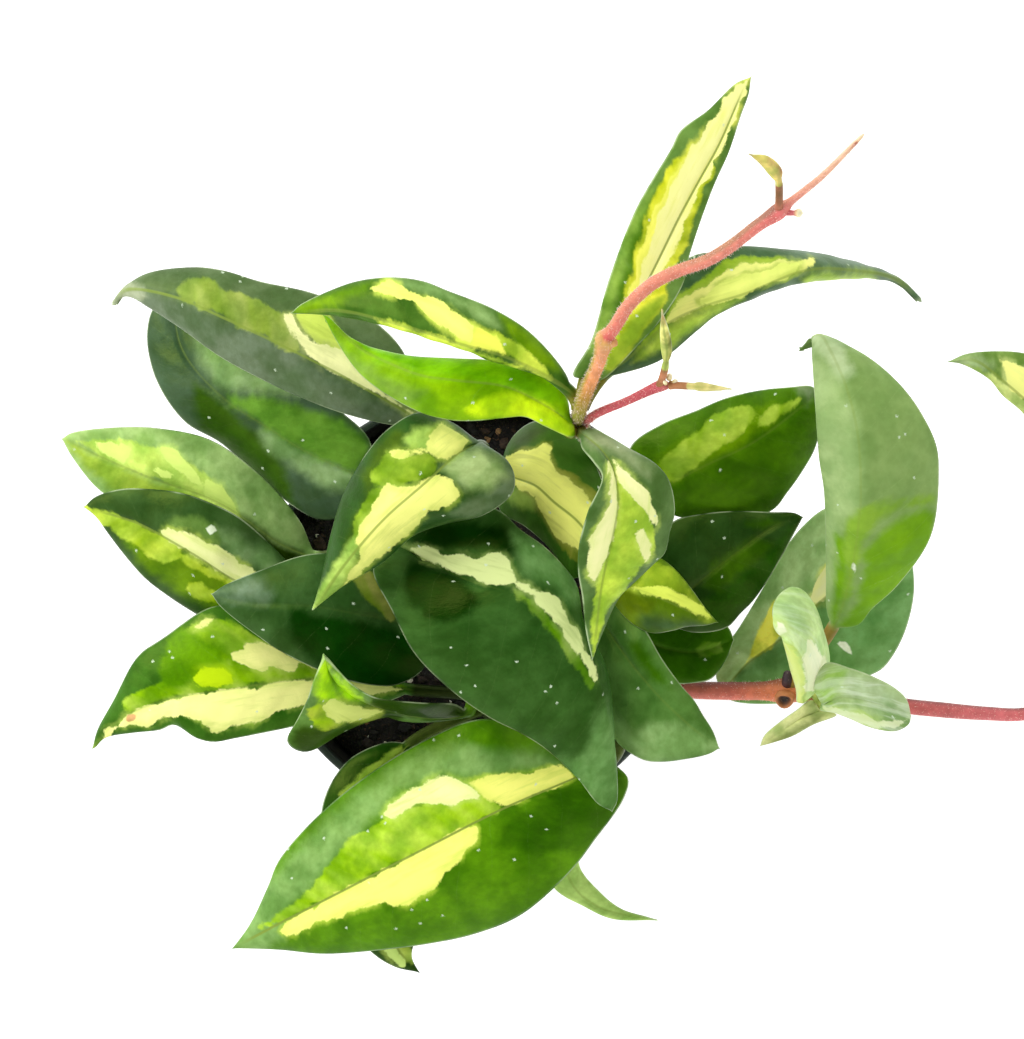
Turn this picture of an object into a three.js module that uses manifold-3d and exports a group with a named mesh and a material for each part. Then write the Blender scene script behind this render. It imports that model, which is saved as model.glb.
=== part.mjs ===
// Krimson princess hoya, a climbing plant with variegated leaves, in a round nursery pot.
//
// Millimetres, +Z up. The origin is the centre of the pot's flat base, on the surface it stands on.
// The plant was measured on a picture taken from straight above. A point of a leaf or stem is
// written as [column, row, height]: its place in that picture in pixels, and its height above the
// surface in millimetres. seen() turns it into a place in the part's frame.

import * as THREE from 'three';
import { mergeVertices } from 'three/addons/utils/BufferGeometryUtils.js';
import Module from 'manifold-3d';

const wasm = await Module();
wasm.setup();

// Driving dimensions

const POT = {
  rimRadius: 52.5,
  height: 90,
  baseRadius: 38,
  wall: 1.2,
  floor: 1.6,
  rimWall: 1.8,
  rimDepth: 9,
  drainHoles: 6,
  drainRadius: 3.5,
  drainCircle: 25,
  edge: 0.5,
  bandStep: 1.5,
  sides: 48,
};
const SOIL = { top: 80, edgeDrop: 2.5, lump: 1.1, rings: 9, sides: 36, stemDepth: 18 };
const GAP = 0.3;
const VIEW = {
  potColumn: 476.5,
  potRow: 606,
  rimRadiusInPixels: 214,
  centreColumn: 512,
  centreRow: 519.5,
  eyeAboveRim: 900,
};
const LEAF = {
  petioleRadius: 1.5,
  ribThickness: 1.5,
  edgeThickness: 0.75,
  leastThickness: 0.62,
  tipHalfWidth: 0.45,
  youngScale: 0.55,
  petioleFade: 0.25,
  cup: 0.07,
  petioleStations: [0, 0.5],
  bladeStations: [0, 0.04, 0.1, 0.18, 0.28, 0.38, 0.48, 0.58, 0.68, 0.77, 0.86, 0.93, 0.975, 1],
  across: [-1, -0.55, 0, 0.55, 1],
};
const STEM = {
  sides: 8,
  step: 5,
  nodeLength: 3.2,
  partsPerPoint: 20,
  outlineStep: 0.5,
  contactStep: 0.05,
};
const CURVE_STEPS = 160;
const TANGENT_SHARE = 0.01;

// Placing points seen in the picture

const mmPerPixel = POT.rimRadius / VIEW.rimRadiusInPixels;
const eye = {
  x: (VIEW.centreColumn - VIEW.potColumn) * mmPerPixel,
  y: (VIEW.potRow - VIEW.centreRow) * mmPerPixel,
  z: POT.height + VIEW.eyeAboveRim,
};

/** The place at this height that the eye above the plant sees at this column and row. */
function seen([column, row, height]) {
  const scale = (mmPerPixel * (eye.z - height)) / VIEW.eyeAboveRim;
  const x = eye.x + (column - VIEW.centreColumn) * scale;
  const y = eye.y - (row - VIEW.centreRow) * scale;
  return new THREE.Vector3(x, y, height);
}

/** A smooth curve through the points, as a function that takes the share of its length. */
function alongCurve(points, firstPoint = 0) {
  const curve = new THREE.CatmullRomCurve3(points, false, 'centripetal');
  const start = firstPoint / (points.length - 1);
  const dense = Array.from({ length: CURVE_STEPS + 1 }, (_, i) =>
    curve.getPoint(start + ((1 - start) * i) / CURVE_STEPS),
  );
  const lengths = [0];
  for (let i = 1; i <= CURVE_STEPS; i += 1) {
    lengths.push(lengths[i - 1] + dense[i].distanceTo(dense[i - 1]));
  }
  return (share) => {
    const wanted = share * lengths[CURVE_STEPS];
    let i = 1;
    while (i < CURVE_STEPS && lengths[i] < wanted) i += 1;
    const t = (wanted - lengths[i - 1]) / (lengths[i] - lengths[i - 1]);
    return dense[i - 1].clone().lerp(dense[i], t);
  };
}

/** Eases between values that stand at even steps from 0 to 1. */
function eased(values, share) {
  const place = Math.min(Math.max(share, 0), 1) * (values.length - 1);
  const i = Math.min(Math.floor(place), values.length - 2);
  const t = (1 - Math.cos(Math.PI * (place - i))) / 2;
  return values[i] * (1 - t) + values[i + 1] * t;
}

// Shapes

/** A closed mesh from its corner points and triangles. */
function solid(points, triangles) {
  const geometry = new THREE.BufferGeometry();
  const numbers = points.flatMap((p) => [p.x, p.y, p.z]);
  geometry.setAttribute('position', new THREE.Float32BufferAttribute(numbers, 3));
  geometry.setIndex(triangles.flat());
  geometry.computeVertexNormals();
  return geometry;
}

/** A round stem along a curve, with its radius given for each share of the length. */
function stemGeometry(points, radiusAt, length) {
  const { sides, step } = STEM;
  const steps = Math.max(4, Math.round(length / step));
  const curve = new THREE.CatmullRomCurve3(points, false, 'centripetal');
  const frames = curve.computeFrenetFrames(steps, false);
  const corners = [];
  for (let i = 0; i <= steps; i += 1) {
    const centre = curve.getPointAt(i / steps);
    const radius = radiusAt(i / steps);
    for (let k = 0; k < sides; k += 1) {
      const angle = (2 * Math.PI * k) / sides;
      const out = frames.normals[i].clone().multiplyScalar(Math.cos(angle) * radius);
      out.addScaledVector(frames.binormals[i], Math.sin(angle) * radius);
      corners.push(centre.clone().add(out));
    }
  }
  const triangles = [];
  for (let i = 0; i < steps; i += 1) {
    for (let k = 0; k < sides; k += 1) {
      const next = (k + 1) % sides;
      const a = i * sides + k;
      const b = i * sides + next;
      const c = a + sides;
      const d = b + sides;
      triangles.push([a, b, d], [a, d, c]);
    }
  }
  const first = corners.push(curve.getPoint(0)) - 1;
  const last = corners.push(curve.getPoint(1)) - 1;
  for (let k = 0; k < sides; k += 1) {
    const next = (k + 1) % sides;
    triangles.push([first, next, k]);
    triangles.push([last, steps * sides + k, steps * sides + next]);
  }
  return solid(corners, triangles);
}

/** Half of one cross section of a leaf, from its rib to the margin on that side. */
function halfSection(rib, forward, margin, side, leastWidth) {
  const reach = margin.clone().sub(rib);
  const lateral = new THREE.Vector3(forward.y, -forward.x, 0).normalize().multiplyScalar(side);
  const missing = Math.max(0, leastWidth - reach.length());
  reach.addScaledVector(lateral, missing);
  const normal = reach.clone().cross(forward).multiplyScalar(side).normalize();
  return { reach, normal };
}

/** A leaf with its petiole: a thin closed blade whose two faces are split alike. */
function leafGeometry(leaf, contact, scale) {
  const rib = leaf.rib.map(seen);
  const bladeRib = alongCurve([contact, ...rib], 1);
  const petiole = alongCurve([contact, contact.clone().lerp(rib[0], 0.5), rib[0]]);
  const base = leaf.rib[0];
  const tip = leaf.rib.at(-1);
  const flat = (points) => [base, ...points, tip].map(([c, r]) => new THREE.Vector3(c, r, 0));
  const margins = [
    { side: -1, along: alongCurve(flat(leaf.left)), lift: [0, ...leaf.lift[0], 0] },
    { side: 1, along: alongCurve(flat(leaf.right)), lift: [0, ...leaf.lift[1], 0] },
  ];
  const { across } = LEAF;
  const top = [];
  const bottom = [];

  const addStation = (centre, forward, halves, ribThickness, edgeThickness, cup) => {
    const middle = halves[0].normal.clone().add(halves[1].normal).normalize();
    across.forEach((v) => {
      const half = halves[v < 0 ? 0 : 1];
      const share = Math.abs(v);
      const normal = v === 0 ? middle : half.normal;
      const bulge = cup * 4 * share * (1 - share) * half.reach.length();
      const point = centre.clone().addScaledVector(half.reach, share);
      point.addScaledVector(half.normal, bulge);
      const thickness = ribThickness * (1 - share) + edgeThickness * share;
      top.push(point.clone().addScaledVector(normal, thickness / 2));
      bottom.push(point.clone().addScaledVector(normal, -thickness / 2));
    });
  };

  const radius = LEAF.petioleRadius * scale;
  const straight = rib[0].clone().sub(contact).normalize();
  LEAF.petioleStations.forEach((share) => {
    const centre = petiole(share);
    const halves = [-1, 1].map((side) => halfSection(centre, straight, centre, side, radius));
    addStation(centre, straight, halves, 2 * radius, radius, 0);
  });
  LEAF.bladeStations.forEach((w) => {
    const centre = bladeRib(w);
    const ahead = bladeRib(Math.min(1, w + TANGENT_SHARE));
    const forward = ahead.sub(bladeRib(Math.max(0, w - TANGENT_SHARE))).normalize();
    const leastWidth = eased([radius, LEAF.tipHalfWidth * scale], w);
    const halves = margins.map(({ side, along, lift }) => {
      const spot = along(w);
      const margin = seen([spot.x, spot.y, centre.z + eased(lift, w)]);
      return halfSection(centre, forward, margin, side, leastWidth);
    });
    const slimming = Math.min(1, w / LEAF.petioleFade);
    const ribThickness = 2 * radius * (1 - slimming) + LEAF.ribThickness * scale * slimming;
    const edge = Math.max(LEAF.leastThickness, LEAF.edgeThickness * scale);
    addStation(centre, forward, halves, Math.max(ribThickness, edge), edge, leaf.cup ?? LEAF.cup);
  });

  const count = across.length;
  const stations = top.length / count;
  const under = top.length;
  const triangles = [];
  for (let i = 0; i < stations - 1; i += 1) {
    for (let j = 0; j < count - 1; j += 1) {
      const a = i * count + j;
      const [b, c, d] = [a + 1, a + count + 1, a + count];
      triangles.push([a, b, c], [a, c, d]);
      triangles.push([under + a, under + c, under + b], [under + a, under + d, under + c]);
    }
    const l = i * count;
    const r = l + count - 1;
    triangles.push([l, l + count, under + l + count], [l, under + l + count, under + l]);
    triangles.push([r, under + r + count, r + count], [r, under + r, under + r + count]);
  }
  const end = (stations - 1) * count;
  for (let j = 0; j < count - 1; j += 1) {
    triangles.push([j, under + j, under + j + 1], [j, under + j + 1, j + 1]);
    const [e, f] = [end + j, end + j + 1];
    triangles.push([e, under + f, under + e], [e, f, under + f]);
  }
  return solid([...top, ...bottom], triangles);
}

// Stems: where each rises from the soil, and its points on the way, which end with the stem's
// radius in millimetres. nodes names the points that are leaf nodes and how far they swell.

const STEMS = {
  stem_main: {
    foot: [598, 488, 2.2],
    path: [
      [603, 478, 104, 2.2], [601, 452, 127, 2.1], [580, 427, 143, 1.75], [580, 409, 159, 1.6],
      [588, 387, 171, 1.6], [599, 361, 180, 1.5], [606, 338, 186, 1.5], [614, 328, 189, 1.45],
      [629, 305, 194, 1.4], [655, 282, 199, 1.4], [683, 269, 202, 1.35], [706, 261, 204, 1.35],
      [731, 246, 206, 1.35], [757, 226, 208, 1.35], [779, 211, 209, 1.2], [790, 202, 209.5, 0.8],
      [821, 177, 211, 0.7], [856, 142, 213, 0.5], [864, 134, 214, 0.4],
    ],
    nodes: { 5: 0.4, 9: 0.8, 17: 0.9 },
    colour: 'stemPink',
  },
  stem_middle: {
    foot: [506, 484, 1.8],
    path: [[500, 480, 98, 1.7], [493, 472, 114, 1.6], [486, 459, 129, 1.5]],
    nodes: { 4: 0.3 },
    colour: 'stemGreen',
  },
  stem_left: {
    foot: [400, 548, 2.1],
    path: [[392, 543, 97, 2], [376, 530, 112, 1.9], [384, 505, 118, 1.7], [402, 470, 122, 1.6],
      [418, 445, 126, 1.5]],
    nodes: { 3: 0.3, 4: 0.3 },
    colour: 'stemGreen',
  },
  stem_front: {
    foot: [490, 712, 2],
    path: [[486, 706, 96, 1.9], [474, 694, 106, 1.7], [466, 680, 114, 1.5]],
    nodes: { 4: 0.3 },
    colour: 'stemGreen',
  },
  stem_low: {
    foot: [622, 702, 2],
    path: [[626, 712, 92, 1.8], [630, 722, 98, 1.7]],
    nodes: {},
    colour: 'stemGreen',
  },
  stem_right: {
    foot: [585, 602, 2.1],
    path: [[588, 598, 95, 2], [592, 590, 106, 1.8], [602, 566, 112, 1.6], [618, 530, 113, 1.5]],
    nodes: { 4: 0.3 },
    colour: 'stemGreen',
  },
  vine_right: {
    foot: [600, 655, 2.2],
    path: [
      [612, 664, 92, 2.2], [640, 678, 96, 2.2], [685, 689, 100, 2.1], [733, 691, 102.5, 2.2],
      [785, 691, 104, 2.2], [812, 693, 104.5, 1.8], [840, 695, 105, 1.6], [905, 706, 105, 1.85],
      [943, 710, 104, 1.85], [987, 713.5, 103, 1.65], [1024, 714, 102, 1.55], [1072, 700, 101, 1.45],
      [1112, 655, 101, 1.4], [1132, 590, 102, 1.3], [1138, 530, 103, 1.2],
    ],
    nodes: { 7: 0.9, 8: 0.4, 17: 0.5 },
    colour: 'stemRed',
  },
};

// Leaves: the rib from base to tip, the margins seen to the left and right of it when going
// that way, and how far each margin stands above the rib at a quarter, half and three quarters

const LEAVES = [
  {
    name: 'leaf_upper_left_folded', on: ['stem_left', 7], colour: 'leafDark',
    rib: [[424, 426, 131], [406, 412, 135], [363, 387, 141], [304, 356, 144], [222, 317, 143],
      [175, 297, 139], [127, 290, 133], [114, 304, 128]],
    left: [[392, 425], [345, 414], [304, 399], [273, 385], [222, 358], [180, 328], [151, 309],
      [126, 295]],
    right: [[418, 398], [403, 351], [371, 319], [316, 294], [259, 281], [222, 270], [190, 267],
      [141, 276]],
    lift: [[-3, -6, -3], [-3, -4, -3]],
  },
  {
    name: 'leaf_upper_left_under', on: ['stem_left', 5], colour: 'leafDark',
    rib: [[372, 482, 108], [353, 473, 109], [302, 449, 109], [268, 427, 108], [222, 396, 106],
      [184, 352, 103], [172, 300, 100]],
    left: [[352, 512], [321, 520], [279, 496], [222, 444], [184, 421], [155, 377], [147, 332],
      [155, 306]],
    right: [[370, 441], [343, 413], [290, 378], [240, 335], [200, 300]],
    lift: [[-4, -6, -3], [2, 3, 1]],
  },
  {
    name: 'leaf_left_high', on: ['stem_left', 4], colour: 'leafMid',
    rib: [[322, 557, 101], [282, 544, 104], [243, 517, 107], [211, 499, 108], [146, 476, 107],
      [104, 458, 105], [62, 439, 103]],
    left: [[296, 572], [255, 562], [200, 534], [150, 512], [103, 493], [72, 457]],
    right: [[314, 551], [300, 521], [261, 476], [211, 440], [157, 428], [121, 427], [71, 433]],
    lift: [[-3, -3, -2], [1, 1, 0]],
  },
  {
    name: 'leaf_left_middle', on: ['stem_left', 3], colour: 'leafMid',
    rib: [[292, 602, 104], [237, 581, 108], [193, 553, 111], [136, 522, 110], [84, 507, 107]],
    left: [[265, 632], [230, 630], [196, 614], [148, 581], [130, 562], [109, 535], [96, 517]],
    right: [[300, 580], [284, 558], [239, 517], [211, 503], [182, 493], [150, 489], [121, 489],
      [95, 497]],
    lift: [[-4, -6, -3], [2, 4, 2]],
  },
  {
    name: 'leaf_left_low', on: ['stem_front', 4], colour: 'leafLime',
    rib: [[415, 690, 101], [370, 684, 105], [309, 679, 109], [237, 688, 112], [163, 701, 110],
      [118, 721, 106], [93, 748, 101]],
    left: [[395, 699], [350, 714], [292, 727], [237, 738], [213, 742], [196, 738], [174, 725],
      [160, 730], [133, 733], [105, 738]],
    right: [[395, 678], [350, 660], [300, 632], [238, 607], [211, 607], [163, 638], [138, 656],
      [113, 701], [97, 731]],
    lift: [[-1, -2, 0], [-1, -2, -1]],
  },
  {
    name: 'leaf_centre_left_dark', on: ['stem_front', 5], colour: 'leafDark',
    rib: [[428, 636, 118], [393, 622, 121], [352, 613, 124], [314, 606, 125], [280, 604, 124],
      [245, 602, 122], [212, 594, 119]],
    left: [[424, 668], [400, 684], [379, 686], [336, 677], [280, 651], [259, 637], [220, 606]],
    right: [[415, 600], [385, 575], [355, 558], [327, 553], [300, 556], [261, 570], [225, 585]],
    lift: [[-4, -5, -2], [-1, -2, -1]],
  },
  {
    name: 'leaf_small_folded', on: ['stem_front', 4], colour: 'leafLime',
    rib: [[468, 712, 109], [440, 716, 111], [411, 714, 114], [389, 708, 118], [366, 700, 122],
      [346, 688, 127], [332, 674, 134], [324, 656, 142]],
    left: [[440, 721], [400, 720], [375, 714], [355, 724], [332, 738], [314, 750], [303, 752],
      [291, 747], [287, 740], [298, 718], [307, 700], [314, 679]],
    right: [[455, 704], [432, 703], [400, 701], [374, 697], [352, 684], [340, 672], [329, 660]],
    lift: [[-2, -4, -7], [7, 9, 6]],
  },
  {
    name: 'leaf_front_large', on: ['stem_low', 4], colour: 'leafMid',
    rib: [[610, 762, 108], [573, 779, 112], [504, 808, 117], [433, 844, 118], [369, 877, 114],
      [280, 923, 105], [233, 948, 98]],
    left: [[628, 778], [624, 798], [594, 841], [570, 872], [521, 915], [475, 934], [434, 943],
      [382, 950], [323, 954], [280, 950]],
    right: [[585, 752], [522, 732], [497, 720], [474, 720], [443, 731], [382, 765], [323, 811],
      [279, 860], [268, 886], [250, 924]],
    lift: [[-4, -7, -3], [-2, -4, -2]],
  },
  {
    name: 'leaf_centre_dark', on: ['stem_left', 4], colour: 'leafDark',
    rib: [[398, 545, 126], [425, 560, 131], [470, 581, 137], [520, 596, 140], [560, 625, 140],
      [590, 672, 137], [607, 740, 131], [612, 811, 125]],
    left: [[400, 512], [450, 498], [499, 510], [520, 529], [544, 546], [562, 564], [577, 585],
      [583, 620], [605, 663], [611, 696], [614, 739], [617, 772], [617, 802]],
    right: [[380, 558], [373, 570], [392, 611], [414, 653], [453, 692], [490, 718], [520, 733],
      [544, 748], [577, 778], [598, 804]],
    lift: [[-3, -4, -2], [-5, -8, -4]],
  },
  {
    name: 'leaf_centre_arched', on: ['stem_middle', 5], colour: 'leafLime',
    rib: [[480, 446, 141], [455, 457, 149], [423, 485, 153], [385, 518, 151], [349, 559, 145],
      [313, 609, 136]],
    left: [[507, 460], [515, 478], [512, 494], [484, 515], [446, 524], [415, 535], [382, 563],
      [343, 586]],
    right: [[455, 424], [420, 412], [389, 428], [368, 451], [344, 492], [331, 533], [322, 575]],
    lift: [[-6, -6, -3], [-5, -6, -3]],
  },
  {
    name: 'leaf_back_long', on: ['stem_main', 6], colour: 'leafLime',
    rib: [[572, 394, 160], [555, 380, 163], [525, 364, 166], [494, 352, 168], [464, 344, 169],
      [411, 327, 168], [340, 310, 162], [292, 313, 156]],
    left: [[566, 389], [545, 377], [515, 367], [488, 360], [466, 349], [436, 340], [402, 329],
      [351, 318], [321, 314]],
    right: [[566, 374], [531, 333], [494, 309], [449, 291], [423, 281], [392, 277], [362, 280],
      [341, 286], [300, 305]],
    lift: [[-3, -4, -2], [-2, -4, -2]],
  },
  {
    name: 'leaf_back_bright', on: ['stem_main', 5], colour: 'leafBright',
    rib: [[569, 431, 152], [564, 419, 154], [535, 399, 157], [504, 386, 159], [453, 380, 160],
      [423, 376, 159], [386, 362, 156], [362, 350, 153], [323, 315, 149]],
    left: [[573, 438], [544, 426], [525, 417], [504, 418], [474, 421], [449, 420], [419, 412],
      [378, 389], [358, 372], [337, 342]],
    right: [[570, 415], [566, 395], [551, 380], [521, 368], [490, 360], [453, 358], [406, 355],
      [362, 344], [341, 331]],
    lift: [[-2, -4, -2], [0, -2, -1]],
  },
  {
    name: 'leaf_back_tall', on: ['stem_main', 6], colour: 'leafLime',
    rib: [[586, 377, 164], [606, 340, 170], [642, 290, 176], [678, 218, 182], [698, 182, 184],
      [719, 144, 184], [744, 88, 181], [751, 77, 180]],
    left: [[573, 376], [591, 341], [609, 279], [634, 213], [652, 180], [671, 149], [680, 131],
      [708, 110], [736, 83]],
    right: [[599, 381], [642, 341], [662, 318], [683, 284], [690, 254], [713, 188], [729, 152],
      [741, 116], [749, 93]],
    lift: [[2, 3, 2], [-1, -2, 0]],
  },
  {
    name: 'leaf_back_right_arched', on: ['stem_main', 6], colour: 'leafDark',
    rib: [[602, 377, 159], [627, 359, 163], [668, 323, 167], [706, 305, 169], [744, 293, 170],
      [805, 270, 168], [860, 271, 160], [898, 280, 151], [920, 301, 145]],
    left: [[600, 363], [625, 330], [655, 288], [692, 256], [719, 251], [739, 246], [782, 249],
      [820, 254], [884, 274], [905, 287]],
    right: [[620, 374], [661, 360], [698, 330], [719, 313], [764, 293], [795, 284], [833, 279],
      [866, 277], [892, 281]],
    lift: [[-2, -3, -1], [-4, -6, -3]],
  },
  {
    name: 'leaf_right_back', on: ['stem_right', 6], colour: 'leafDark',
    rib: [[642, 497, 118], [670, 483, 121], [708, 464, 124], [752, 443, 125], [802, 406, 122],
      [818, 392, 120]],
    left: [[630, 470], [631, 446], [662, 424], [695, 411], [726, 398], [761, 390], [790, 387],
      [811, 386]],
    right: [[665, 512], [705, 522], [745, 520], [774, 509], [787, 493], [802, 472], [816, 446],
      [821, 412]],
    lift: [[-2, -3, -2], [-5, -6, -4]],
  },
  {
    name: 'leaf_right_upturned', on: ['vine_right', 7], colour: 'leafUnder',
    rib: [[833, 627, 118], [849, 584, 131], [860, 515, 146], [861, 481, 151], [858, 435, 155],
      [847, 389, 154], [830, 350, 149], [820, 336, 145], [800, 350, 139]],
    left: [[827, 612], [826, 572], [824, 492], [819, 458], [814, 389], [812, 354], [812, 340]],
    right: [[858, 625], [872, 609], [897, 586], [931, 536], [939, 469], [936, 444], [922, 414],
      [906, 391], [883, 368], [860, 352], [837, 343]],
    lift: [[-7, -9, -4], [-4, -7, -4]],
    cup: 0.05,
  },
  {
    name: 'leaf_right_under_vine', on: ['vine_right', 6], colour: 'leafDark',
    rib: [[723, 692, 94], [746, 664, 94], [778, 641, 96], [824, 598, 99], [870, 560, 101],
      [905, 535, 100]],
    left: [[716, 676], [728, 644], [740, 626], [773, 571], [789, 543], [803, 526], [824, 509],
      [860, 500], [892, 512]],
    right: [[730, 700], [773, 704], [830, 695], [869, 676], [882, 669], [894, 654], [906, 629],
      [914, 593], [912, 560]],
    lift: [[1, 2, 1], [-2, -4, -3]],
  },
  {
    name: 'leaf_right_dark', on: ['stem_right', 4], colour: 'leafDark',
    rib: [[658, 618, 112], [690, 590, 117], [732, 556, 121], [778, 524, 124], [803, 517, 125]],
    left: [[650, 590], [655, 545], [674, 521], [701, 514], [732, 511], [772, 512], [795, 513]],
    right: [[690, 632], [726, 628], [741, 613], [753, 601], [773, 572], [795, 532]],
    lift: [[0, 1, 0], [-2, -3, -1]],
  },
  {
    name: 'leaf_right_striped', on: ['stem_right', 5], colour: 'leafLime',
    rib: [[606, 578, 122], [640, 590, 129], [663, 599, 131], [694, 613, 130], [717, 622, 127]],
    left: [[618, 560], [642, 552], [664, 560], [678, 572], [694, 592], [706, 609]],
    right: [[612, 600], [630, 622], [651, 633], [671, 631], [686, 627], [707, 625]],
    lift: [[-1, -2, -1], [-4, -5, -2]],
  },
  {
    name: 'leaf_right_low_dark', on: ['stem_right', 3], colour: 'leafDark',
    rib: [[625, 628, 103], [655, 645, 105], [695, 652, 107], [734, 640, 107]],
    left: [[640, 612], [680, 608], [715, 615], [729, 628]],
    right: [[640, 668], [670, 683], [694, 683], [711, 679], [726, 660]],
    lift: [[0, 0, 0], [-1, -1, 0]],
  },
  {
    name: 'leaf_front_right_dark', on: ['stem_right', 4], colour: 'leafDark',
    rib: [[602, 616, 117], [622, 650, 123], [655, 692, 125], [690, 726, 122], [719, 748, 118]],
    left: [[617, 604], [633, 614], [647, 632], [661, 657], [681, 685], [694, 700], [703, 715],
      [713, 731]],
    right: [[592, 650], [600, 700], [616, 741], [635, 756], [647, 761], [662, 762], [681, 760],
      [709, 754]],
    lift: [[1, 0, -1], [-2, -4, -2]],
  },
  {
    name: 'leaf_centre_back', on: ['stem_middle', 4], colour: 'leafDark',
    rib: [[507, 473, 116], [518, 479, 121], [538, 487, 128], [553, 501, 130], [582, 527, 128],
      [602, 570, 126]],
    left: [[504, 455], [515, 434], [535, 421], [555, 425], [575, 436], [588, 451], [599, 472],
      [607, 500], [608, 540]],
    right: [[498, 494], [501, 512], [524, 526], [542, 541], [556, 557], [567, 578]],
    lift: [[-4, -5, -3], [-3, -4, -2]],
  },
  {
    name: 'leaf_right_arched', on: ['stem_main', 5], colour: 'leafLime',
    rib: [[583, 434, 151], [599, 450, 156], [611, 468, 159], [617, 496, 160], [614, 525, 158],
      [602, 579, 152], [592, 659, 144]],
    left: [[592, 428], [607, 435], [629, 448], [656, 464], [669, 480], [675, 511], [670, 532], [665, 553],
      [654, 564], [633, 584], [619, 598], [601, 636]],
    right: [[581, 446], [593, 462], [602, 477], [588, 511], [579, 545], [578, 571], [582, 596],
      [586, 632]],
    lift: [[-4, -5, -3], [4, 3, 1]],
  },
  {
    name: 'leaf_vine_end', on: ['vine_right', 17], colour: 'leafLime',
    rib: [[1126, 497, 108], [1100, 462, 112], [1058, 424, 115], [1024, 398, 116],
      [1007, 384, 116], [976, 361, 114], [948, 362, 111]],
    left: [[1106, 500], [1060, 462], [1023, 413], [1002, 395], [990, 380], [961, 364]],
    right: [[1130, 455], [1105, 405], [1065, 366], [1024, 353], [996, 351], [966, 354]],
    lift: [[-2, -3, -1], [-1, -2, -1]],
  },
  {
    name: 'leaf_front_narrow', on: ['stem_low', 3], colour: 'leafLime',
    rib: [[590, 735, 93], [572, 775, 95], [560, 830, 93], [571, 882, 89], [600, 907, 86],
      [657, 920, 82]],
    left: [[598, 770], [585, 825], [579, 864], [600, 892], [622, 909]],
    right: [[548, 770], [535, 830], [553, 887], [583, 906], [612, 919]],
    lift: [[0, -1, 0], [0, -1, 0]],
  },
  {
    name: 'leaf_front_under', on: ['stem_front', 3], colour: 'leafDark',
    rib: [[410, 744, 97], [385, 780, 99], [372, 830, 99], [376, 890, 96], [396, 945, 92],
      [419, 972, 88]],
    left: [[425, 775], [432, 840], [425, 905], [415, 940], [412, 957]],
    right: [[388, 742], [351, 758], [330, 785], [321, 815], [328, 870], [350, 925], [371, 952],
      [395, 967]],
    lift: [[0, 0, 0], [-1, -2, -1]],
  },
  {
    name: 'young_leaf_bent', on: ['vine_right', 8], colour: 'leafYoung', young: true,
    rib: [[802, 700, 112], [806, 688, 119], [805, 668, 128], [797, 650, 134], [785, 637, 136],
      [780, 630, 135]],
    left: [[797, 702], [796, 690], [790, 668], [784, 645]],
    right: [[812, 692], [829, 662], [822, 625], [812, 600], [800, 588], [790, 587], [777, 597],
      [772, 612], [775, 624]],
    lift: [[-3, -5, -3], [-7, -1, 5]],
    cup: 0.15,
  },
  {
    name: 'young_leaf_right', on: ['vine_right', 8], colour: 'leafYoung', young: true,
    rib: [[824, 704, 113], [842, 697, 120], [875, 703, 123], [911, 716, 122]],
    left: [[814, 688], [826, 663], [850, 668], [872, 676], [895, 688], [907, 700]],
    right: [[820, 710], [834, 713], [850, 719], [866, 726], [880, 730], [897, 731], [909, 724]],
    lift: [[5, 4, 1], [-1, -1, 0]],
  },
  {
    name: 'young_leaf_left', on: ['vine_right', 8], colour: 'leafYoung', young: true,
    rib: [[820, 712, 107], [803, 718, 110], [782, 731, 111], [760, 746, 110]],
    left: [[837, 715], [813, 725], [793, 736], [772, 743]],
    right: [[812, 700], [795, 711], [777, 724], [764, 736]],
    lift: [[0, 0, 0], [0, 0, 0]],
  },
  {
    name: 'shoot_leaf_upright', on: ['shoot_side', 3], colour: 'leafYoung', young: true,
    rib: [[665, 368, 182], [667, 350, 192], [664, 330, 201], [662, 310, 208]],
    left: [[661, 350], [660, 330]],
    right: [[672, 352], [669, 330]],
    lift: [[1, 1, 1], [1, 1, 1]],
  },
  {
    name: 'shoot_leaf_flat', on: ['shoot_side', 4], colour: 'leafYoung', young: true,
    rib: [[688, 386, 178], [700, 387, 180], [734, 389, 182]],
    left: [[698, 382], [716, 385]],
    right: [[698, 391], [716, 391]],
    lift: [[0, 0, 0], [0, 0, 0]],
  },
  {
    name: 'runner_leaf_bent', on: ['stem_main', 17], colour: 'leafYoung', young: true,
    rib: [[779, 184, 219], [777, 172, 224], [766, 161, 228], [749, 154, 230]],
    left: [[772, 178], [760, 164]],
    right: [[782, 170], [768, 156]],
    lift: [[0, 0, 0], [0, 0, 0]],
  },
];
const SIDE_SHOOT = {
  name: 'shoot_side',
  on: ['stem_main', 5],
  path: [[598, 413, 160, 0.95], [627, 401, 166, 0.9], [660, 386, 172, 1.15], [668, 385, 174, 1]],
  colour: 'stemThin',
};

const COLOURS = {
  pot: 0x2c3a33,
  soil: 0x2a1e16,
  leafDark: 0x3c6430,
  leafMid: 0x4b870f,
  leafLime: 0xa0c828,
  leafBright: 0x6ebe00,
  leafUnder: 0x7da05f,
  leafYoung: 0xb4cd9b,
  stemPink: 0xcd6964,
  stemRed: 0xaf504b,
  stemThin: 0xb94655,
  stemGreen: 0x6b7a3a,
};

function material(colour, roughness) {
  return new THREE.MeshStandardMaterial({ color: COLOURS[colour], roughness, metalness: 0 });
}

function piece(name, geometry, look) {
  const mesh = new THREE.Mesh(geometry, look);
  mesh.name = name;
  return mesh;
}

// Stems in place, each kept with its axis so that leaves can be set on it

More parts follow.
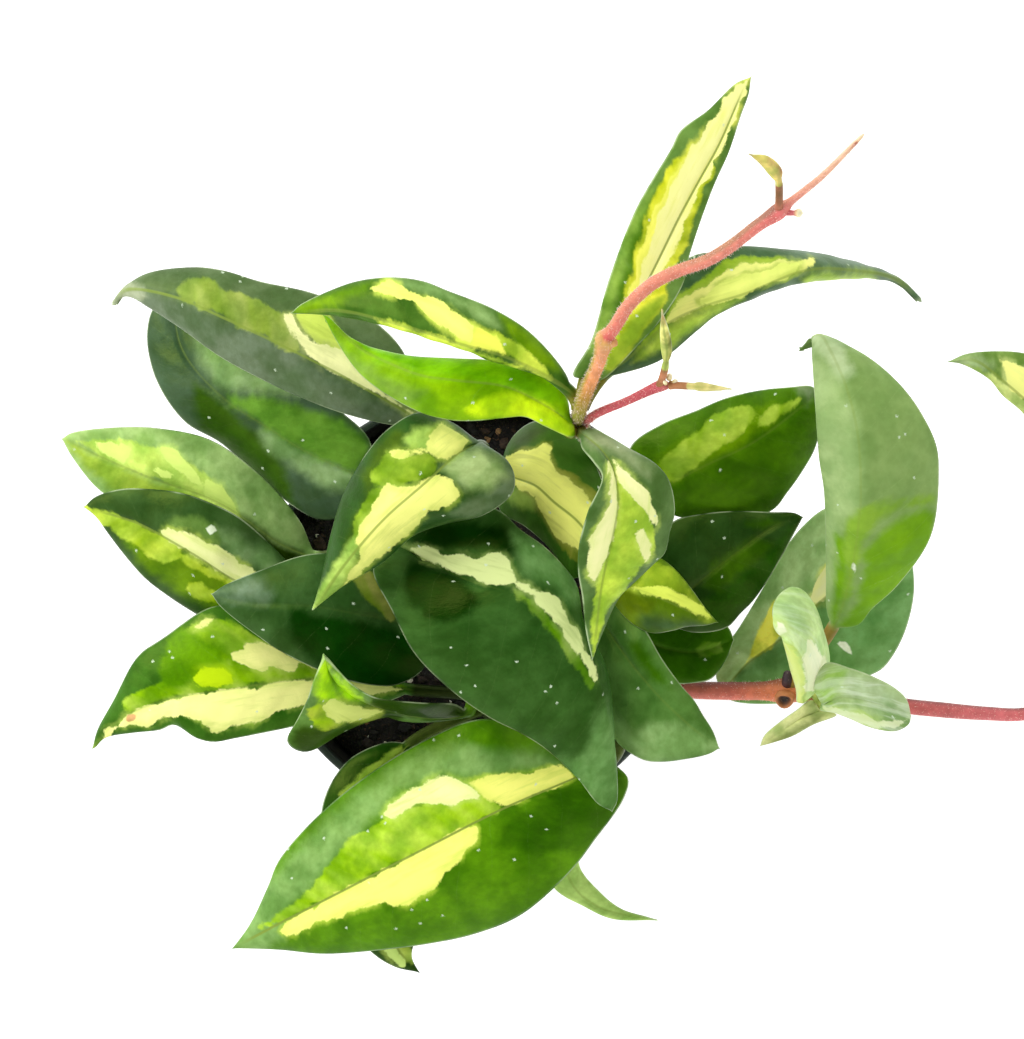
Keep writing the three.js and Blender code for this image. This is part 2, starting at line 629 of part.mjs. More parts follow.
function stemRecord(points, radii, nodes, colour) {
  const curve = new THREE.CatmullRomCurve3(points, false, 'centripetal');
  const last = points.length - 1;
  const perPoint = STEM.partsPerPoint;
  const lengths = curve.getLengths(last * perPoint);
  const length = lengths.at(-1);
  const shareOf = points.map((_, i) => lengths[i * perPoint] / length);
  const radiusAt = (share) => {
    let i = 1;
    while (i < last && shareOf[i] < share) i += 1;
    const t = (share - shareOf[i - 1]) / (shareOf[i] - shareOf[i - 1]);
    let radius = radii[i - 1] + (radii[i] - radii[i - 1]) * t;
    Object.entries(nodes).forEach(([index, swelling]) => {
      const away = ((share - shareOf[index]) * length) / STEM.nodeLength;
      radius += swelling * Math.exp(-away * away);
    });
    return radius;
  };
  const steps = Math.ceil(length / STEM.outlineStep);
  const outline = curve.getSpacedPoints(steps).map((centre, i) => (
    { centre, radius: radiusAt(i / steps) }
  ));
  return { points, curve, length, radiusAt, outline, colour };
}

/** Where a petiole or shoot of this radius, going to a point, meets the outside of a stem. */
function contactOn(stem, index, towards, radius) {
  const axisPoint = stem.points[index];
  const way = towards.clone().sub(axisPoint).normalize();
  const isClearAt = (distance) => stem.outline.every((ring) => {
    const apart = ring.centre.clone().sub(axisPoint).addScaledVector(way, -distance);
    const ahead = apart.dot(way);
    const aside = Math.max(0, apart.addScaledVector(way, -ahead).length() - radius);
    return Math.hypot(ahead, aside) > ring.radius + GAP;
  });
  let distance = GAP;
  while (!isClearAt(distance)) distance += STEM.contactStep;

  const cosine = way.dot(stem.curve.getTangentAt(1));
  if (index === stem.points.length - 1 && cosine > 0) {
    const pastEnd = (GAP + radius * Math.sqrt(1 - cosine * cosine)) / cosine;
    distance = Math.min(distance, pastEnd);
  }
  return axisPoint.clone().addScaledVector(way, distance);
}

const stems = {};
Object.entries(STEMS).forEach(([name, stem]) => {
  const [column, row, footRadius] = stem.foot;
  const foot = seen([column, row, SOIL.top]);
  const rise = [-SOIL.stemDepth, -2, 4].map((z) => foot.clone().setZ(SOIL.top + z));
  const points = [...rise, ...stem.path.map(seen)];
  const radii = [...rise.map(() => footRadius), ...stem.path.map((point) => point[3])];
  stems[name] = { foot, ...stemRecord(points, radii, stem.nodes, stem.colour) };
});
const shootRadii = SIDE_SHOOT.path.map((point) => point[3]);
const shootPath = SIDE_SHOOT.path.map(seen);
const [shootParent, shootIndex] = SIDE_SHOOT.on;
const shootStart = contactOn(stems[shootParent], shootIndex, shootPath[0], shootRadii[0]);
stems[SIDE_SHOOT.name] = stemRecord(
  [shootStart, ...shootPath], [shootRadii[0], ...shootRadii], {}, SIDE_SHOOT.colour,
);

// The pot: a tapered wall with an upright rim band, a flat base and drain holes

function manifoldOf(geometry) {
  const bare = geometry.clone();
  bare.deleteAttribute('normal');
  bare.deleteAttribute('uv');
  const merged = mergeVertices(bare, 1e-4);
  return new wasm.Manifold(new wasm.Mesh({
    numProp: 3,
    vertProperties: new Float32Array(merged.attributes.position.array),
    triVerts: new Uint32Array(merged.index.array),
  }));
}

function geometryOf(manifold) {
  const mesh = manifold.getMesh();
  const geometry = new THREE.BufferGeometry();
  geometry.setAttribute('position', new THREE.BufferAttribute(mesh.vertProperties, 3));
  geometry.setIndex(new THREE.BufferAttribute(mesh.triVerts, 1));
  geometry.computeVertexNormals();
  return geometry;
}

function uprightCylinder(radius, bottom, top, x, y, sides) {
  const geometry = new THREE.CylinderGeometry(radius, radius, top - bottom, sides);
  geometry.rotateX(Math.PI / 2);
  geometry.translate(x, y, (top + bottom) / 2);
  return geometry;
}

/** A profile of [radius, height] points turned about the pot's axis. */
function turned(profile, sides) {
  const geometry = new THREE.LatheGeometry(profile.map(([r, z]) => new THREE.Vector2(r, z)), sides);
  geometry.rotateX(Math.PI / 2);
  return geometry;
}

const bandFoot = POT.height - POT.rimDepth;
const wallTop = POT.rimRadius - POT.rimWall;
const taper = (wallTop - POT.baseRadius) / bandFoot;
const outerRadiusAt = (z) => POT.baseRadius + taper * z;

function potGeometry() {
  const { height, floor, wall, rimRadius, rimWall, baseRadius, edge, bandStep } = POT;
  const rimInside = rimRadius - rimWall;
  const wallInsideTop = outerRadiusAt(bandFoot - bandStep) - wall;
  const profile = [
    [0, 0], [baseRadius - edge, 0], [baseRadius, edge], [outerRadiusAt(bandFoot), bandFoot],
    [rimRadius - edge, bandFoot], [rimRadius, bandFoot + edge], [rimRadius, height - edge],
    [rimRadius - edge, height], [rimInside + edge, height], [rimInside, height - edge],
    [rimInside, bandFoot + bandStep], [wallInsideTop, bandFoot - bandStep],
    [outerRadiusAt(floor) - wall, floor], [0, floor],
  ];
  let pot = manifoldOf(turned(profile, POT.sides));
  for (let i = 0; i < POT.drainHoles; i += 1) {
    const angle = (2 * Math.PI * i) / POT.drainHoles;
    const x = POT.drainCircle * Math.cos(angle);
    const y = POT.drainCircle * Math.sin(angle);
    pot = pot.subtract(manifoldOf(uprightCylinder(POT.drainRadius, -1, floor + 1, x, y, 16)));
  }
  return geometryOf(pot);
}

// The soil fills the pot to a lumpy top, with a plain hole for each stem

function soilHeight(x, y) {
  const coarse = Math.sin(0.21 * x + 1.3) * Math.cos(0.19 * y - 0.4);
  const fine = Math.sin(0.53 * x - 0.47 * y) * Math.cos(0.41 * x + 0.6 * y + 2);
  return SOIL.top + SOIL.lump * (0.6 * coarse + 0.5 * fine);
}

function soilGeometry() {
  const { rings, sides, top } = SOIL;
  const bottom = POT.floor + GAP;
  const radiusAt = (z) => outerRadiusAt(z) - POT.wall - 1.5 * GAP;
  const wallZ = top - SOIL.edgeDrop;
  const corners = [];
  for (let i = 1; i <= rings; i += 1) {
    const radius = (radiusAt(wallZ) * i) / rings;
    for (let k = 0; k < sides; k += 1) {
      const angle = (2 * Math.PI * k) / sides;
      const [x, y] = [radius * Math.cos(angle), radius * Math.sin(angle)];
      corners.push(new THREE.Vector3(x, y, i === rings ? wallZ : soilHeight(x, y)));
    }
  }
  for (let k = 0; k < sides; k += 1) {
    const angle = (2 * Math.PI * k) / sides;
    const radius = radiusAt(bottom);
    corners.push(new THREE.Vector3(radius * Math.cos(angle), radius * Math.sin(angle), bottom));
  }
  const crown = corners.push(new THREE.Vector3(0, 0, soilHeight(0, 0))) - 1;
  const under = corners.push(new THREE.Vector3(0, 0, bottom)) - 1;
  const triangles = [];
  for (let k = 0; k < sides; k += 1) {
    const next = (k + 1) % sides;
    triangles.push([crown, k, next]);
    for (let i = 0; i < rings; i += 1) {
      const [a, b] = [i * sides + k, i * sides + next];
      triangles.push([a, a + sides, b + sides], [a, b + sides, b]);
    }
    triangles.push([under, rings * sides + next, rings * sides + k]);
  }
  let soil = manifoldOf(solid(corners, triangles));
  Object.values(stems).filter((stem) => stem.foot).forEach((stem) => {
    const radius = stem.radiusAt(0) + 2 * GAP;
    const { x, y } = stem.foot;
    const depth = top - SOIL.stemDepth - GAP;
    const above = top + 2 * SOIL.lump;
    soil = soil.subtract(manifoldOf(uprightCylinder(radius, depth, above, x, y, 12)));
  });
  return geometryOf(soil);
}

// The assembled plant

const plant = new THREE.Group();
Object.entries(stems).forEach(([name, stem]) => {
  const geometry = stemGeometry(stem.points, stem.radiusAt, stem.length);
  plant.add(piece(name, geometry, material(stem.colour, 0.6)));
});
LEAVES.forEach((leaf) => {
  const scale = leaf.young ? LEAF.youngScale : 1;
  const [stemName, index] = leaf.on;
  const start = seen(leaf.rib[0]);
  const contact = contactOn(stems[stemName], index, start, LEAF.petioleRadius * scale);
  plant.add(piece(leaf.name, leafGeometry(leaf, contact, scale), material(leaf.colour, 0.35)));
});

const hoya = new THREE.Group();
hoya.add(piece('pot', potGeometry(), material('pot', 0.6)));
hoya.add(piece('soil', soilGeometry(), material('soil', 0.95)));
hoya.add(plant);

export default hoya;
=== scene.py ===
from itertools import combinations

import bpy
import numpy as np
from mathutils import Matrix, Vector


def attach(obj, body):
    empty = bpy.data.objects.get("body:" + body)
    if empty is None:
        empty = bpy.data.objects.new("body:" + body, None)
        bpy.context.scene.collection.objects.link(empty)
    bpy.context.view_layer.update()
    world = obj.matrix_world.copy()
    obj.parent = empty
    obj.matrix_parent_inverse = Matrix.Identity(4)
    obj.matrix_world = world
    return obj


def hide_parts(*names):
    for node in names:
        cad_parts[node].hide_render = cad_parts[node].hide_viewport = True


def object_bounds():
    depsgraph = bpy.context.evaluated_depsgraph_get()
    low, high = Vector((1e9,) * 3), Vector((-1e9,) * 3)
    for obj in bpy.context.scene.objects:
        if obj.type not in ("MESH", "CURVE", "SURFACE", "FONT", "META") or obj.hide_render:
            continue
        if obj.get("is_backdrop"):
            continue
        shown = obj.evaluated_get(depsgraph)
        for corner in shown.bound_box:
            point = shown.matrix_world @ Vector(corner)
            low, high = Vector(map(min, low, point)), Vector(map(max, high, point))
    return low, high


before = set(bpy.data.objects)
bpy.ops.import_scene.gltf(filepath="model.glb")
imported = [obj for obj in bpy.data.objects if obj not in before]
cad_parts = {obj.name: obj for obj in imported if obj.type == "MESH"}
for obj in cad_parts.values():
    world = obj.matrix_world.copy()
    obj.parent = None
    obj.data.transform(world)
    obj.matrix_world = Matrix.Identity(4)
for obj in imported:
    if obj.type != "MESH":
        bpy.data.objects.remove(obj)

cad_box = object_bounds()

# THE POT
# A thin moulding of dark plastic: a tapered wall, an upright band below the rim that stiffens
# it and lets pots be lifted, and a flat base with six drain holes.

MM = 0.001
POT_RIM, POT_HEIGHT, POT_BASE, POT_WALL, POT_FLOOR = 52.5, 90.0, 38.0, 1.2, 1.6
BAND_DEPTH, BAND_WALL, BAND_STEP, MIDDLE_RING, POT_SIDES = 9.0, 1.8, 1.5, 0.5, 192
DRAIN_HOLES, DRAIN_CIRCLE, DRAIN_RADIUS, DRILL_DEPTH = 6, 25.0, 3.5, 8.0
UNSHADED_LIP, INNER_SHADE_FADE = 1.5, 4.0


def paint(red, green, blue):
    """A colour written from 0 to 255, as the linear light that a shader reads."""
    c = np.array([red, green, blue]) / 255
    linear = np.where(c <= 0.04045, c / 12.92, ((c + 0.055) / 1.055) ** 2.4)
    return (*linear.tolist(), 1.0)


def skin(name, rings, facts=None):
    """A closed skin over rings of points, an array of (rings, points, 3) in millimetres. Each
    ring is joined to the next by four-sided faces, and the first and last ring each to one
    point at its middle. facts are values for every point, kept as attributes of the mesh. The
    faces are turned over if the volume that they close comes out negative."""
    n, m = rings.shape[:2]
    i, j = np.mgrid[: n - 1, :m]
    a, b = i * m + j, i * m + (j + 1) % m
    quads = np.stack([a, b, b + m, a + m], -1).reshape(-1, 4)
    k = np.arange(m)
    k1 = (k + 1) % m
    last = (n - 1) * m
    first_cap = np.stack([k1, k, np.full(m, n * m)], -1)
    last_cap = np.stack([last + k, last + k1, np.full(m, n * m + 1)], -1)
    points = np.vstack([rings.reshape(-1, 3), rings[0].mean(0), rings[-1].mean(0)]) * MM
    p0, p1, p2, p3 = (points[quads[:, c]] for c in range(4))
    volume = (p0 * np.cross(p1, p2)).sum() + (p0 * np.cross(p2, p3)).sum()
    if volume < 0:
        quads, first_cap, last_cap = quads[:, ::-1], first_cap[:, ::-1], last_cap[:, ::-1]
    corners = np.concatenate([quads.ravel(), first_cap.ravel(), last_cap.ravel()])
    starts = np.concatenate([np.arange(len(quads)) * 4, len(quads) * 4 + np.arange(2 * m) * 3])
    mesh = bpy.data.meshes.new(name)
    mesh.vertices.add(len(points))
    mesh.vertices.foreach_set("co", points.ravel())
    mesh.loops.add(len(corners))
    mesh.loops.foreach_set("vertex_index", corners.astype(np.int32))
    mesh.polygons.add(len(starts))
    mesh.polygons.foreach_set("loop_start", starts.astype(np.int32))
    mesh.update(calc_edges=True)
    mesh.shade_smooth()
    fields = {1: ("FLOAT", "value"), 3: ("FLOAT_VECTOR", "vector"), 4: ("FLOAT_COLOR", "color")}
    for fact, values in (facts or {}).items():
        values = np.asarray(values, float).reshape(n * m, -1)
        values = np.vstack([values, values[:m].mean(0), values[-m:].mean(0)])
        kind, field = fields[values.shape[1]]
        layer = mesh.attributes.new(fact, kind, "POINT")
        layer.data.foreach_set(field, values.ravel())
    piece = bpy.data.objects.new(name, mesh)
    bpy.context.scene.collection.objects.link(piece)
    return piece


class Finish:
    """A material with one Principled surface. place, fact, noise, reckon, step and blend each
    add one node to it and give back the output that holds the result. relief, colour and rough
    lead such a result to the surface."""

    def __init__(self, name, roughness, **constants):
        self.material = bpy.data.materials.new(name)
        self.material.use_nodes = True
        self.tree = self.material.node_tree
        self.surface = self.tree.nodes["Principled BSDF"]
        self.surface.inputs["Roughness"].default_value = roughness
        for socket, value in constants.items():
            self.surface.inputs[socket.replace("_", " ")].default_value = value

    def feed(self, socket, source):
        """Joins a socket to another node's output, or sets it to a plain value."""
        if isinstance(source, bpy.types.NodeSocket):
            self.tree.links.new(source, socket)
        else:
            socket.default_value = source

    def add(self, kind, output, inputs, **settings):
        """A new node of this kind with its settings made and its sockets fed."""
        node = self.tree.nodes.new(kind)
        for setting, value in settings.items():
            setattr(node, setting, value)
        for socket, source in inputs.items():
            self.feed(node.inputs[socket], source)
        return node.outputs[output]

    def place(self):
        return self.add("ShaderNodeTexCoord", "Object", {})

    def fact(self, name, output="Fac"):
        return self.add("ShaderNodeAttribute", output, {}, attribute_name=name)

    def noise(self, at, scale, detail, roughness=0.5):
        inputs = {"Vector": at, "Scale": scale, "Detail": detail, "Roughness": roughness}
        return self.add("ShaderNodeTexNoise", "Fac", inputs)

    def reckon(self, operation, a, b=0.0, c=0.0):
        return self.add("ShaderNodeMath", 0, {0: a, 1: b, 2: c}, operation=operation)

    def step(self, value, low, high, start=0.0, end=1.0):
        """From start where the value is low to end where it is high, eased at both."""
        inputs = {0: value, 1: low, 2: high, 3: start, 4: end}
        return self.add("ShaderNodeMapRange", 0, inputs, interpolation_type="SMOOTHSTEP")

    def blend(self, share, a, b, how="MIX"):
        inputs = {0: share, 6: a, 7: b}
        return self.add("ShaderNodeMix", 2, inputs, data_type="RGBA", blend_type=how)

    def relief(self, height, strength, distance):
        inputs = {"Height": height, "Strength": strength, "Distance": distance}
        self.feed(self.surface.inputs["Normal"], self.add("ShaderNodeBump", 0, inputs))

    def colour(self, source):
        self.feed(self.surface.inputs["Base Color"], source)

    def rough(self, source):
        self.feed(self.surface.inputs["Roughness"], source)


band_foot = POT_HEIGHT - BAND_DEPTH
rim_inside = POT_RIM - BAND_WALL


def wall_radius(z):
    """The outside of the tapered wall: a straight line from the base to below the band."""
    return POT_BASE + (rim_inside - POT_BASE) * z / band_foot


def rounded(profile, radii):
    """A profile of [radius, height] corners with each corner cut by a curve of six points: a
    quadratic that leaves the corner's one side at the given distance and meets the other at
    the same."""
    profile = np.asarray(profile, float)
    out = [profile[0]]
    for before, corner, after, r in zip(profile, profile[1:], profile[2:], radii):
        a = corner + (before - corner) / np.linalg.norm(before - corner) * r
        b = corner + (after - corner) / np.linalg.norm(after - corner) * r
        t = np.linspace(0, 1, 6)[:, None]
        out.extend((1 - t) ** 2 * a + 2 * t * (1 - t) * corner + t ** 2 * b)
    out.append(profile[-1])
    return np.array(out)


pot_profile = rounded(
    [
        [MIDDLE_RING, 0], [POT_BASE, 0], [wall_radius(band_foot), band_foot],
        [POT_RIM, band_foot], [POT_RIM, POT_HEIGHT], [rim_inside, POT_HEIGHT],
        [rim_inside, band_foot + BAND_STEP],
        [wall_radius(band_foot - BAND_STEP) - POT_WALL, band_foot - BAND_STEP],
        [wall_radius(POT_FLOOR) - POT_WALL, POT_FLOOR], [MIDDLE_RING, POT_FLOOR],
    ],
    [1.6, 0.6, 0.5, 0.8, 0.7, 0.8, 0.8, 1.2],
)
turn = np.linspace(0, 2 * np.pi, POT_SIDES, endpoint=False)
pot_rings = np.stack(
    [
        pot_profile[:, :1] * np.cos(turn), pot_profile[:, :1] * np.sin(turn),
        np.repeat(pot_profile[:, 1:], len(turn), 1),
    ],
    -1,
)
# The inside starts after the profile's highest and outermost point, and below its lip it is painted
# dark, as shade.
inner = np.arange(len(pot_profile)) > np.argmax(pot_profile[:, 1] + 0.01 * pot_profile[:, 0])
inner_shade = np.clip((POT_HEIGHT - UNSHADED_LIP - pot_profile[:, 1]) / INNER_SHADE_FADE, 0, 1) * inner
pot = skin("nursery_pot", pot_rings, {"inner_shade": np.repeat(inner_shade[:, None], len(turn), 1)})
for k in range(DRAIN_HOLES):
    angle = k * 2 * np.pi / DRAIN_HOLES
    bpy.ops.mesh.primitive_cylinder_add(
        radius=DRAIN_RADIUS * MM, depth=DRILL_DEPTH * MM, vertices=48,
        location=(DRAIN_CIRCLE * MM * np.cos(angle), DRAIN_CIRCLE * MM * np.sin(angle), 0),
    )
    drill = bpy.context.object
    cut = pot.modifiers.new("drain", "BOOLEAN")
    cut.operation, cut.solver, cut.object = "DIFFERENCE", "EXACT", drill
    with bpy.context.temp_override(object=pot, active_object=pot):
        bpy.ops.object.modifier_apply(modifier="drain")
    bpy.data.objects.remove(drill)
pot.data.shade_smooth()

plastic = Finish("dark_moulded_plastic", 0.5)
at = plastic.place()
cloud = plastic.noise(at, 60.0, 4.0)
dust = plastic.noise(at, 900.0, 2.0)
shell = plastic.blend(
    plastic.reckon("MULTIPLY", plastic.step(dust, 0.55, 0.8), 0.35),
    plastic.blend(cloud, paint(32, 45, 37), paint(44, 59, 48)), paint(96, 112, 96),
)
# Painted shade darkens the inside of the pot below its lip.
plastic.colour(plastic.blend(plastic.fact("inner_shade"), shell, paint(20, 19, 14)))
plastic.rough(plastic.step(cloud, 0.3, 0.7, 0.42, 0.6))
plastic.relief(dust, 0.15, 0.0002)
pot.data.materials.append(plastic.material)
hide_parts("pot")
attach(pot, "root")

# THE SOIL
# Damp dark potting mix of peat and bark, filled to a centimetre below the rim, with loose
# crumbs, bits of tan bark and a few white grains of perlite on top.

SOIL_TOP, SOIL_EDGE_DROP, SOIL_GAP, SOIL_FOOT_GAP = 80.0, 2.5, 0.45, 0.3
SOIL_RINGS, CRUMB_FREE_EDGE = 70, 3.0


def soil_height(x, y):
    """Lumps: a broad and a narrower product of sines, and finer sines crossed at odd angles."""
    broad = 0.66 * np.sin(0.21 * x + 1.3) * np.cos(0.19 * y - 0.4)
    narrow = 0.55 * np.sin(0.53 * x - 0.47 * y) * np.cos(0.41 * x + 0.6 * y + 2)
    fine = 0.22 * np.sin(1.9 * x + 1.1 * y) * np.sin(2.3 * y - 1.3 * x + 0.7)
    finest = 0.12 * np.sin(4.3 * x - 2.9 * y + 1) * np.sin(3.7 * y + 2.2 * x)
    return SOIL_TOP + broad + narrow + fine + finest


def soil_radius(z):
    """The outside of the soil: the pot's inner wall, less a thin gap."""
    return wall_radius(z) - POT_WALL - SOIL_GAP


edge_z = SOIL_TOP - SOIL_EDGE_DROP
reach = np.linspace(0.01, 1, SOIL_RINGS)[:, None] * soil_radius(edge_z)
x, y = reach * np.cos(turn), reach * np.sin(turn)
near_wall = np.clip((reach / soil_radius(edge_z) - 0.9) / 0.1, 0, 1) ** 2
top = np.stack([x, y, soil_height(x, y) * (1 - near_wall) + edge_z * near_wall], -1)
foot_z = POT_FLOOR + SOIL_FOOT_GAP
foot_r = soil_radius(foot_z)
foot = np.stack([foot_r * np.cos(turn), foot_r * np.sin(turn), np.full_like(turn, foot_z)], -1)
foot_inner = foot * [0.02, 0.02, 1]
soil = skin("potting_soil", np.concatenate([top, foot[None], foot_inner[None]]))

peat = Finish("damp_peat", 0.85)
at = peat.place()
lumps = peat.noise(at, 350.0, 6.0, 0.7)
specks = peat.noise(at, 1400.0, 3.0, 0.6)
peat.colour(
    peat.blend(
        peat.step(specks, 0.62, 0.72),
        peat.blend(peat.step(lumps, 0.4, 0.75), paint(6, 4, 2), paint(40, 27, 17)),
        paint(104, 76, 50),
    )
)
peat.relief(peat.reckon("ADD", lumps, specks), 0.9, 0.0012)
soil.data.materials.append(peat.material)
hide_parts("soil")
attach(soil, "root")


def crumbs(name, count, least, most, flatness, colours, seed):
    """Loose bits on the soil. Each is a ball of 20 faces whose corners are drawn in or out by
    up to 35%, flattened, turned at random and half sunk in the soil. The twelve corners are
    the cyclic places of (0, 1, golden ratio)."""
    g = (1 + 5 ** 0.5) / 2
    ball = np.array(
        [[0, s, t * g] for s in (1, -1) for t in (1, -1)]
        + [[s, t * g, 0] for s in (1, -1) for t in (1, -1)]
        + [[t * g, 0, s] for s in (1, -1) for t in (1, -1)]
    ) / np.hypot(1, g)
    apart = np.linalg.norm(ball[:, None] - ball[None], axis=-1)
    near = np.abs(apart - apart[apart > 0].min()) < 1e-6
    faces = np.array(
        [
            trio for trio in combinations(range(len(ball)), 3)
            if all(near[a, b] for a, b in combinations(trio, 2))
        ]
    )
    middle = ball[faces].mean(1)
    out = np.cross(ball[faces[:, 1]] - ball[faces[:, 0]], ball[faces[:, 2]] - ball[faces[:, 0]])
    faces = np.where(((out * middle).sum(1) < 0)[:, None], faces[:, ::-1], faces)
    draw = np.random.default_rng(seed)
    size = least + (most - least) * draw.random(count) ** 2.5
    bits = ball * (1 + 0.35 * draw.uniform(-1, 1, (count, len(ball), 1)))
    bits = bits * np.stack([size, size * draw.uniform(0.5, 1, count), size * flatness], -1)[:, None]
    spin, tip = draw.uniform(0, 2 * np.pi, count), draw.normal(0, 0.35, count)
    cs, sn, ct, st = np.cos(spin), np.sin(spin), np.cos(tip), np.sin(tip)
    zero, one = np.zeros(count), np.ones(count)
    about_z = np.array([[cs, -sn, zero], [sn, cs, zero], [zero, zero, one]]).transpose(2, 0, 1)
    about_x = np.array([[one, zero, zero], [zero, ct, -st], [zero, st, ct]]).transpose(2, 0, 1)
    bits = bits @ (about_z @ about_x).transpose(0, 2, 1)
    r = (soil_radius(edge_z) - CRUMB_FREE_EDGE) * np.sqrt(draw.random(count))
    way = draw.uniform(0, 2 * np.pi, count)
    x, y = r * np.cos(way), r * np.sin(way)
    ground = soil_height(x, y) + size * flatness * 0.3
    points = (bits + np.stack([x, y, ground], -1)[:, None]).reshape(-1, 3) * MM
    corners = (faces[None] + len(ball) * np.arange(count)[:, None, None]).reshape(-1, 3)
    mesh = bpy.data.meshes.new(name)
    mesh.from_pydata(points.tolist(), [], corners.tolist())
    tint = np.array(colours)[draw.integers(0, len(colours), count)]
    tint[:, :3] *= draw.uniform(0.75, 1.15, (count, 1))
    layer = mesh.attributes.new("tint", "FLOAT_COLOR", "POINT")
    layer.data.foreach_set("color", np.repeat(tint, len(ball), 0).ravel())
    piece = bpy.data.objects.new(name, mesh)
    bpy.context.scene.collection.objects.link(piece)
    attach(piece, "root")
    return piece


gritty = Finish("crumbs_and_bark", 0.8)
at = gritty.place()
grain = gritty.noise(at, 1800.0, 4.0)
shade = gritty.blend(gritty.step(grain, 0.3, 0.75), (0.45, 0.45, 0.45, 1), (1.2, 1.2, 1.2, 1))
gritty.colour(gritty.blend(1.0, gritty.fact("tint", "Color"), shade, "MULTIPLY"))
gritty.relief(grain, 0.6, 0.0003)
dark_bits = [paint(18, 12, 8), paint(40, 26, 16), paint(62, 42, 26), paint(12, 8, 6)]
bark_bits = [paint(120, 84, 52), paint(160, 120, 82), paint(92, 60, 38)]
perlite = [paint(232, 226, 214), paint(214, 205, 190)]
for piece in (
    crumbs("peat_crumbs", 1500, 0.4, 1.9, 0.6, dark_bits, 4),
    crumbs("bark_bits", 130, 0.4, 1.7, 0.35, bark_bits, 9),
    crumbs("perlite_grains", 70, 0.4, 1.2, 0.7, perlite, 15),
):
    piece.data.materials.append(gritty.material)

# THE STEMS
# Round twining stems, green and corky at the foot and pink to red on the long vines, swollen
# at each leaf node. The vines are covered with short soft hairs.

VIEW_COLUMN, VIEW_ROW, POT_COLUMN, POT_ROW, RIM_PIXELS = 512.0, 519.5, 476.5, 606.0, 214.0
EYE_ABOVE_RIM, COURSE_STEPS = 900.0, 160
STEM_DEPTH, STEM_SIDES, RING_SPACING, END_ROUNDING = 18.0, 28, 0.4, [0.97, 0.9, 0.76, 0.5]
FLANK_SHADE_SHARE, FLANK_SHADE_FADE = 0.95, 0.55
HAIR_LENGTH, HAIR_RADIUS, HAIR_ROOT = 0.75, 0.042, 0.05
PIXEL = POT_RIM / RIM_PIXELS
EYE = np.array(
    [(VIEW_COLUMN - POT_COLUMN) * PIXEL, (POT_ROW - VIEW_ROW) * PIXEL, POT_HEIGHT + EYE_ABOVE_RIM]
)


def seen(spots):
    """The places in millimetres of spots written as column, row, height: what the eye above the
    plant sees at that column and row of the picture, at that height. A pixel's size there grows
    in proportion to the distance below the eye."""
    spots = np.asarray(spots, float)
    scale = PIXEL * (EYE[2] - spots[..., 2]) / EYE_ABOVE_RIM
    x = EYE[0] + (spots[..., 0] - VIEW_COLUMN) * scale
    y = EYE[1] - (spots[..., 1] - VIEW_ROW) * scale
    return np.stack([x, y, spots[..., 2]], -1)


def drawn(places):
    """The column and row at which the eye sees each place: seen(), turned about."""
    scale = PIXEL * (EYE[2] - places[..., 2]) / EYE_ABOVE_RIM
    column = VIEW_COLUMN + (places[..., 0] - EYE[0]) / scale
    row = VIEW_ROW - (places[..., 1] - EYE[1]) / scale
    return np.stack([column, row], -1)


def course(points, shares, first=0, last=None):
    """A centripetal Catmull-Rom curve through the points, read at these shares of its length
    between its first and last point named. Each span is a cubic between two points, whose
    slopes come from its neighbours, weighed by the square root of their distances. Gives the
    places, the length, and the share at which each point lies."""
    points = np.asarray(points, float)
    spans = len(points) - 1
    last = spans if last is None else last
    ends = 2 * points[0] - points[1], 2 * points[-1] - points[-2]
    padded = np.vstack([ends[0], points, ends[1]])
    t = np.linspace(first, last, COURSE_STEPS * (last - first) + 1)
    i = np.minimum(t.astype(int), spans - 1)
    w = (t - i)[:, None]
    p0, p1, p2, p3 = (padded[i + k] for k in range(4))
    pairs = ((p0, p1), (p1, p2), (p2, p3))
    d0, d1, d2 = (np.sqrt(np.linalg.norm(b - a, axis=1))[:, None] for a, b in pairs)
    m1 = ((p1 - p0) / d0 - (p2 - p0) / (d0 + d1) + (p2 - p1) / d1) * d1
    m2 = ((p2 - p1) / d1 - (p3 - p1) / (d1 + d2) + (p3 - p2) / d2) * d1
    curve = p1 + m1 * w + (3 * (p2 - p1) - 2 * m1 - m2) * w ** 2
    curve += (2 * (p1 - p2) + m1 + m2) * w ** 3
    run = np.r_[0, np.cumsum(np.linalg.norm(np.diff(curve, axis=0), axis=1))]
    at = np.asarray(shares, float) * run[-1]
    places = np.stack([np.interp(at, run, curve[:, k]) for k in range(curve.shape[1])], -1)
    return places, run[-1], run[::COURSE_STEPS] / run[-1]


def unit(v):
    """Directions made one long: each is divided by its length."""
    return v / np.maximum(np.linalg.norm(v, axis=-1, keepdims=True), 1e-9)


def tube(places, radii, sides, about):
    """Rings round a path. Each stands square to the path, and its first point lies towards the
    direction about, which the path never follows."""
    along = unit(np.gradient(places, axis=0))
    across = unit(np.cross(along, about))
    third = np.cross(along, across)
    angle = np.linspace(0, 2 * np.pi, sides, endpoint=False)
    ring = across[:, None] * np.cos(angle)[:, None] + third[:, None] * np.sin(angle)[:, None]
    return places[:, None] + ring * np.asarray(radii)[:, None, None]


def mixed(colours, share_of, share):
    """Colours named for some points of a path, blended evenly between those points. 9.2 is a
    fifth of the way from point 9 to point 10."""
    place = np.interp(list(colours), np.arange(len(share_of)), share_of)
    values = np.array(list(colours.values()))
    return np.stack([np.interp(share, place, values[:, k]) for k in range(4)], -1)


